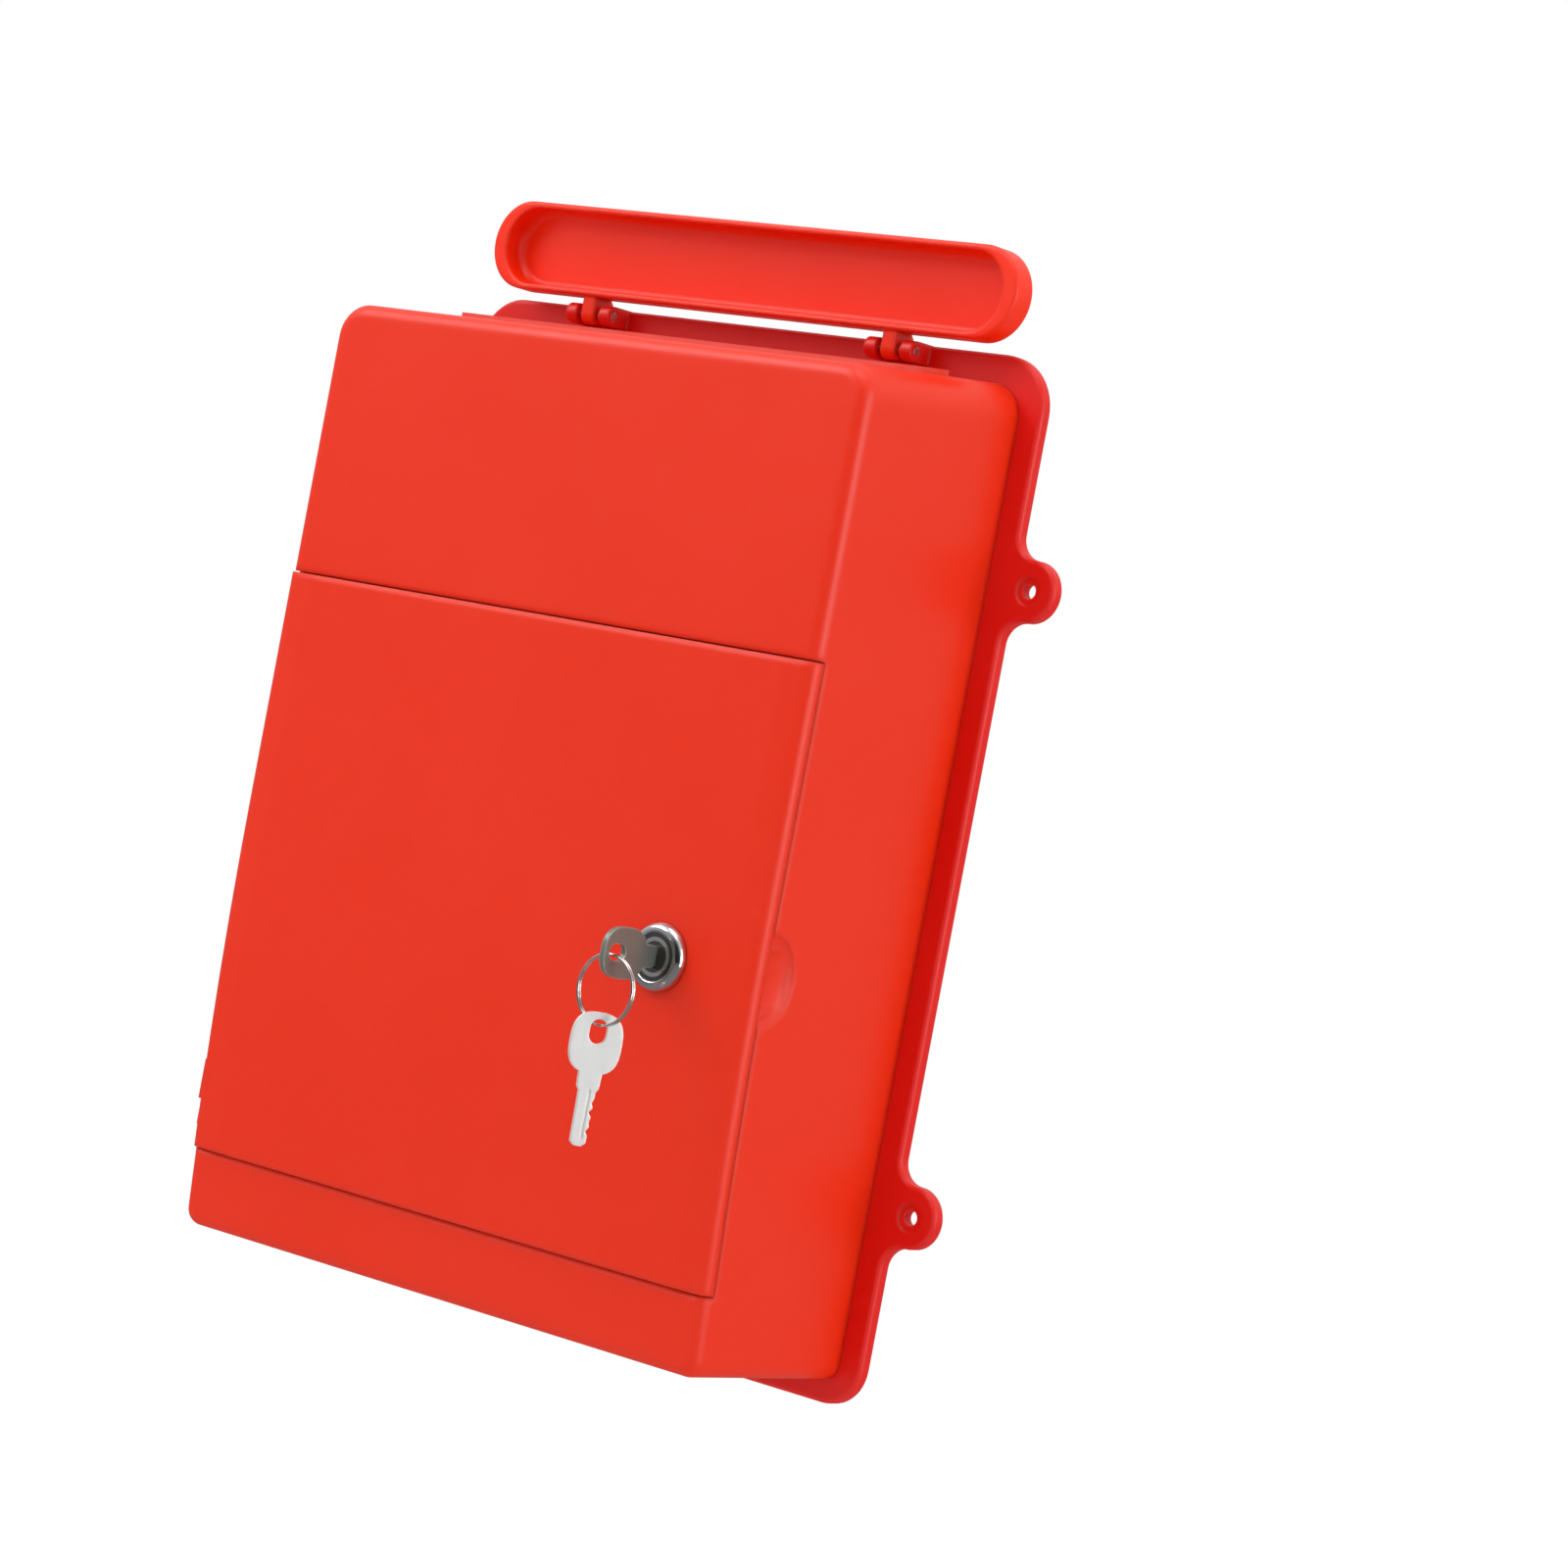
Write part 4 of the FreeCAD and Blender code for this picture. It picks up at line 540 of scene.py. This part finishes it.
def make_piece(name, points, faces, body, slot, finish=None, smooth=True):
    """A new object from arrays of points and faces, with its finish, on its body. Points in one
    place are joined, which closes seams and tips, and then every face is turned outwards."""
    mesh = bpy.data.meshes.new(name)
    mesh.from_pydata(points.tolist(), [], faces.tolist())
    edit = bmesh.new()
    edit.from_mesh(mesh)
    bmesh.ops.remove_doubles(edit, verts=edit.verts, dist=0.001 * MM)
    bmesh.ops.recalc_face_normals(edit, faces=edit.faces)
    edit.to_mesh(mesh)
    edit.free()
    mesh.polygons.foreach_set("use_smooth", np.full(len(mesh.polygons), smooth))
    mesh.materials.append(finishes[finish or slot])
    mesh.validate()
    mesh.update()
    piece = bpy.data.objects.new(name, mesh)
    scene.collection.objects.link(piece)
    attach(piece, body)
    print("%s: %d points, %d faces" % (name, len(mesh.vertices), len(mesh.polygons)))
    return piece


# %% Wind the split ring
ring_low, ring_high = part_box("key_ring")
RING_MIDDLE = (np.array(ring_low) + np.array(ring_high)) / 2
WIRE = 0.48 * MM
RING_REACH = (ring_high.x - ring_low.x) / 2 - WIRE
STEP_WIDTH = 0.16
END_GAP = 0.2


def split_ring(turn_steps=150, around=14):
    """Two turns of wire. The path's angle runs twice round; its offset along Y goes from one wire
    radius before the middle to one behind it in a short smooth step half way. Round each point of
    the path the wire is a circle in the plane of the radius and Y, and its radius falls to nothing
    over the last two rows at each end, so that the tips close."""
    angle = np.linspace(END_GAP, 4 * np.pi - END_GAP, 2 * turn_steps)
    step = np.clip((angle - 2 * np.pi) / STEP_WIDTH, -1, 1)
    offset = WIRE * 1.04 * step * (3 - step ** 2) / 2
    size = np.full_like(angle, WIRE)
    size[[0, -1]] = 0
    size[[1, -2]] = 0.7 * WIRE
    angle[[0, 1]] = angle[2] - np.array([0.35, 0.3]) * WIRE / RING_REACH
    angle[[-1, -2]] = angle[-3] + np.array([0.35, 0.3]) * WIRE / RING_REACH
    round_wire = np.linspace(0, 2 * np.pi, around, endpoint=False)
    reach = RING_REACH + size[:, None] * np.cos(round_wire)
    points = np.stack([reach * np.sin(angle)[:, None],
                       offset[:, None] + size[:, None] * np.sin(round_wire),
                       -reach * np.cos(angle)[:, None]], axis=2)
    return points.reshape(-1, 3) + RING_MIDDLE, grid_faces(len(angle), around)


ring_points, ring_faces = split_ring()
ring_piece = make_piece("split_ring", ring_points, ring_faces, "ring", "ring_steel")
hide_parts("key_ring")

# %% [markdown]
# ## The lock's threaded barrel
#
# Behind the door the lock is a chromed barrel with a fine thread and two flats, held by a nut.
# The thread shows as soon as the door opens. It is one surface of revolution whose radius also
# depends on the angle: going round once moves the ridge on by one pitch. The flats are then cut
# by limiting how far the surface may reach to each side.

# %% Turn the lock body
housing_low, housing_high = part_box("lock_housing")
BEZEL_RADIUS = (housing_high.x - housing_low.x) / 2
BARREL_RADIUS = 9.5 * MM
BARREL_FLAT = 8.0 * MM
BARREL_LENGTH = 21.0 * MM
BEZEL_DEPTH = 3.5 * MM
BORE_RADIUS = 6.28 * MM
FACE_RADIUS = 8.08 * MM
SEAT_BACK = -0.85 * MM
PITCH = 1.0 * MM
THREAD_DEPTH = 0.5 * MM


def lock_profile():
    """Rows of (distance behind the door's face, radius, share of thread, share of flat), from the
    bezel's inner lip out over its dome, back along the barrel, and forward again in the bore."""
    dome = np.linspace(0, 1, 14)
    rim = BEZEL_RADIUS - FACE_RADIUS - 0.5 * MM
    over = np.stack([-BEZEL_DEPTH * np.cos(dome * np.pi / 2) ** 0.9,
                     BEZEL_RADIUS - rim * (1 - np.sin(dome * np.pi / 2) ** 0.8),
                     0 * dome, 0 * dome], axis=1)
    along = np.linspace(0.02 * MM, BARREL_LENGTH, 22 * 8)
    threaded = np.clip((along - 0.8 * MM) / PITCH, 0, 1) * np.clip((BARREL_LENGTH - along) / PITCH, 0, 1)
    barrel = np.stack([along, np.full_like(along, BARREL_RADIUS), threaded, np.ones_like(along)], axis=1)
    inside = [(BARREL_LENGTH, BORE_RADIUS, 0, 0), (BARREL_LENGTH / 2, BORE_RADIUS, 0, 0),
              (SEAT_BACK, BORE_RADIUS, 0, 0), (SEAT_BACK, FACE_RADIUS, 0, 0),
              (-BEZEL_DEPTH + 0.3 * MM, FACE_RADIUS, 0, 0), (-BEZEL_DEPTH, FACE_RADIUS + 0.3 * MM, 0, 0)]
    return np.concatenate([over, barrel, np.array(inside)])


def lock_body(around=128):
    """The profile carried round the lock's axis. The thread lowers the radius by a triangle wave
    of the distance along the axis less the share of a turn, and a flat limits the reach along X."""
    along, radius, thread, flat = lock_profile().T
    angle = np.linspace(0, 2 * np.pi, around, endpoint=False)
    phase = along[:, None] / PITCH - angle / (2 * np.pi)
    ridge = np.abs(2 * (phase % 1) - 1)
    reach = radius[:, None] - THREAD_DEPTH * thread[:, None] * ridge
    limit = np.where(flat[:, None] > 0, BARREL_FLAT, 1.0)
    x = np.clip(reach * np.cos(angle), -limit, limit)
    z = reach * np.sin(angle)
    y = np.broadcast_to(along[:, None], x.shape)
    points = np.stack([x, y, z], axis=2).reshape(-1, 3) + np.array(LOCK_SPOT)
    return points, grid_faces(len(along), around, wrap_rows=True)


lock_points, lock_faces = lock_body()
lock_piece = make_piece("lock_body", lock_points, lock_faces, "door_leaf", "lock_chrome")
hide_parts("lock_housing")

# %% [markdown]
# ## The keys
#
# A key is stamped from sheet, so its edges are slightly rounded, and a groove is milled along its
# blade. The plate could be cut out by Boolean tools, but a key is nearly a list of widths: for
# each distance from its top there is the half width of the plate and the half width of the hole.
# The plate is then two bars, one on each side of the hole, whose cross section is a bevelled
# oblong. Where there is no hole the two bars meet along the middle line.
#
# The key in the lock has a dark colour, a painted dark reflection, and less bare metal. The spare is
# bright.

# %% Stamp the keys
KEY_HALF_THICK = 1.0 * MM
KEY_BEVEL = 0.25 * MM
BOW_END = 20.0 * MM
BOW_HALF = 8.5 * MM
BOW_POWER = 2.8
NECK_HALF = 3.95 * MM
SHOULDER = 25.0 * MM
BLADE_HALF = 2.85 * MM
KEY_LENGTH = 43.4 * MM
HOLE_START, HOLE_STOP, HOLE_HALF = 2.2 * MM, 10.2 * MM, 2.8 * MM
GROOVE_NEAR, GROOVE_FAR, GROOVE_DEPTH = 0.35 * MM, 1.15 * MM, 0.4 * MM
FIRST_CUT, CUT_STEP = 2.6 * MM, 3.1 * MM
CUT_DEPTHS = (0.5, 0.9, 0.3, 0.7)
SPARE_TURN = math.radians(50 - 90)


def key_widths():
    """For each distance from the top of the key: the half width of the plate on its plain side and
    on its cut side, and the half width of the hole. The bow is an ellipse with a higher power than
    two, which squares it; the hole has half circles at both ends; the cuts are cosine dips."""
    spread = (1 - np.cos(np.linspace(0, np.pi, 40))) / 2
    reach = np.unique(np.concatenate([
        spread * HOLE_START, HOLE_START + spread * (HOLE_STOP - HOLE_START),
        HOLE_STOP + spread * (BOW_END - HOLE_STOP), np.linspace(BOW_END, SHOULDER, 8),
        np.linspace(SHOULDER, SHOULDER + 0.8 * MM, 4), np.linspace(SHOULDER + 1 * MM, KEY_LENGTH, 120)]))
    bow = BOW_HALF * (1 - np.abs(2 * reach / BOW_END - 1).clip(0, 1) ** BOW_POWER) ** (1 / BOW_POWER)
    neck = np.interp(reach, [0, BOW_END - 2 * MM, SHOULDER - 0.5 * MM, SHOULDER + 0.6 * MM,
                             KEY_LENGTH - 1.2 * MM, KEY_LENGTH],
                     [0, NECK_HALF, 0.93 * NECK_HALF, BLADE_HALF, 0.92 * BLADE_HALF, 0.45 * BLADE_HALF])
    neck[reach < BOW_END - 2 * MM] = 0
    plain = np.maximum(bow, neck)
    share = (reach - SHOULDER - FIRST_CUT) / CUT_STEP
    number = np.clip(np.floor(share), 0, len(CUT_DEPTHS) - 1).astype(int)
    inside = (share > 0) & (share < len(CUT_DEPTHS))
    cut = np.array(CUT_DEPTHS)[number] * MM * inside * (1 - np.cos(2 * np.pi * share)) / 2
    ends = np.minimum(reach - HOLE_START, HOLE_STOP - reach).clip(0, HOLE_HALF)
    hole = np.sqrt(HOLE_HALF ** 2 - (HOLE_HALF - ends) ** 2)
    return reach, plain, plain - cut, hole


def key_plate():
    """Rows along the key, each a loop of points (thickness, along, across) for one bar. The bar on
    the plain side is the mirror of the other without its cuts and its groove."""
    reach, plain, notched, hole = key_widths()
    along = reach - SHOULDER
    milled = GROOVE_DEPTH * ((reach > SHOULDER) & (reach < KEY_LENGTH - 2.5 * MM))
    points, faces, count = [], [], 0
    for side, width, sunk in ((1, notched, milled), (-1, plain, 0 * milled)):
        inner = np.minimum(hole, width)
        rim = np.minimum(KEY_BEVEL, (width - inner) / 2)
        thick = np.full_like(width, KEY_HALF_THICK)
        near = np.maximum(inner, np.minimum(GROOVE_NEAR, width))
        far = np.maximum(inner, np.minimum(GROOVE_FAR, width - rim))
        loop = [(thick, inner), (thick, near), (thick - sunk, near + sunk / 4),
                (thick - sunk, far - sunk / 4), (thick, far), (thick, width - rim),
                (thick - rim, width), (rim - thick, width), (-thick, width - rim), (-thick, inner)]
        rows = np.stack([np.stack([depth, along, side * across], axis=1) for depth, across in loop], axis=1)
        last = rows[-1].copy()
        last[:, 2] = 0
        rows = np.concatenate([rows, last[None]])
        quads = grid_faces(len(rows), len(loop))
        place, row = quads % len(loop), quads // len(loop)
        middle = (place == 0).any(axis=1) & (place == len(loop) - 1).any(axis=1)
        gap = np.append(hole, 0)
        solid = gap[row[:, 0]] + gap[row[:, 2]] <= 0
        quads = quads[~(middle & solid)]
        faces.append((quads if side < 0 else quads[:, ::-1]) + count)
        points.append(rows.reshape(-1, 3))
        count += len(points[-1])
    return np.concatenate(points), np.concatenate(faces)


def stamp_key(node, body, finish, turn):
    """One key in the place of its CAD node. The turn carries the plate's own axes (thickness,
    along, across) to the object's, and the shoulder is set so that the bow's top is at the
    node's own end."""
    low, high = (np.array(corner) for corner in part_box(node))
    points, faces = key_plate()
    points = points @ np.array(turn).T
    along = np.array(turn)[:, 1]
    middle = (low + high) / 2
    half = np.abs(along) @ (high - low) / 2
    shoulder = middle + along * (SHOULDER - half)
    piece = make_piece(node + "_stamped", points + shoulder, faces, body, "key_nickel", finish,
                       smooth=False)
    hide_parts(node)
    return piece


# The key in the lock gets the finish with the painted dark reflection.
stamp_key("inserted_key", "key", "dark_reflection_nickel", np.eye(3))
stamp_key("hanging_key", "spare_key", "key_nickel",
          [[math.cos(SPARE_TURN), 0, -math.sin(SPARE_TURN)],
           [math.sin(SPARE_TURN), 0, math.cos(SPARE_TURN)],
           [0, -1, 0]])
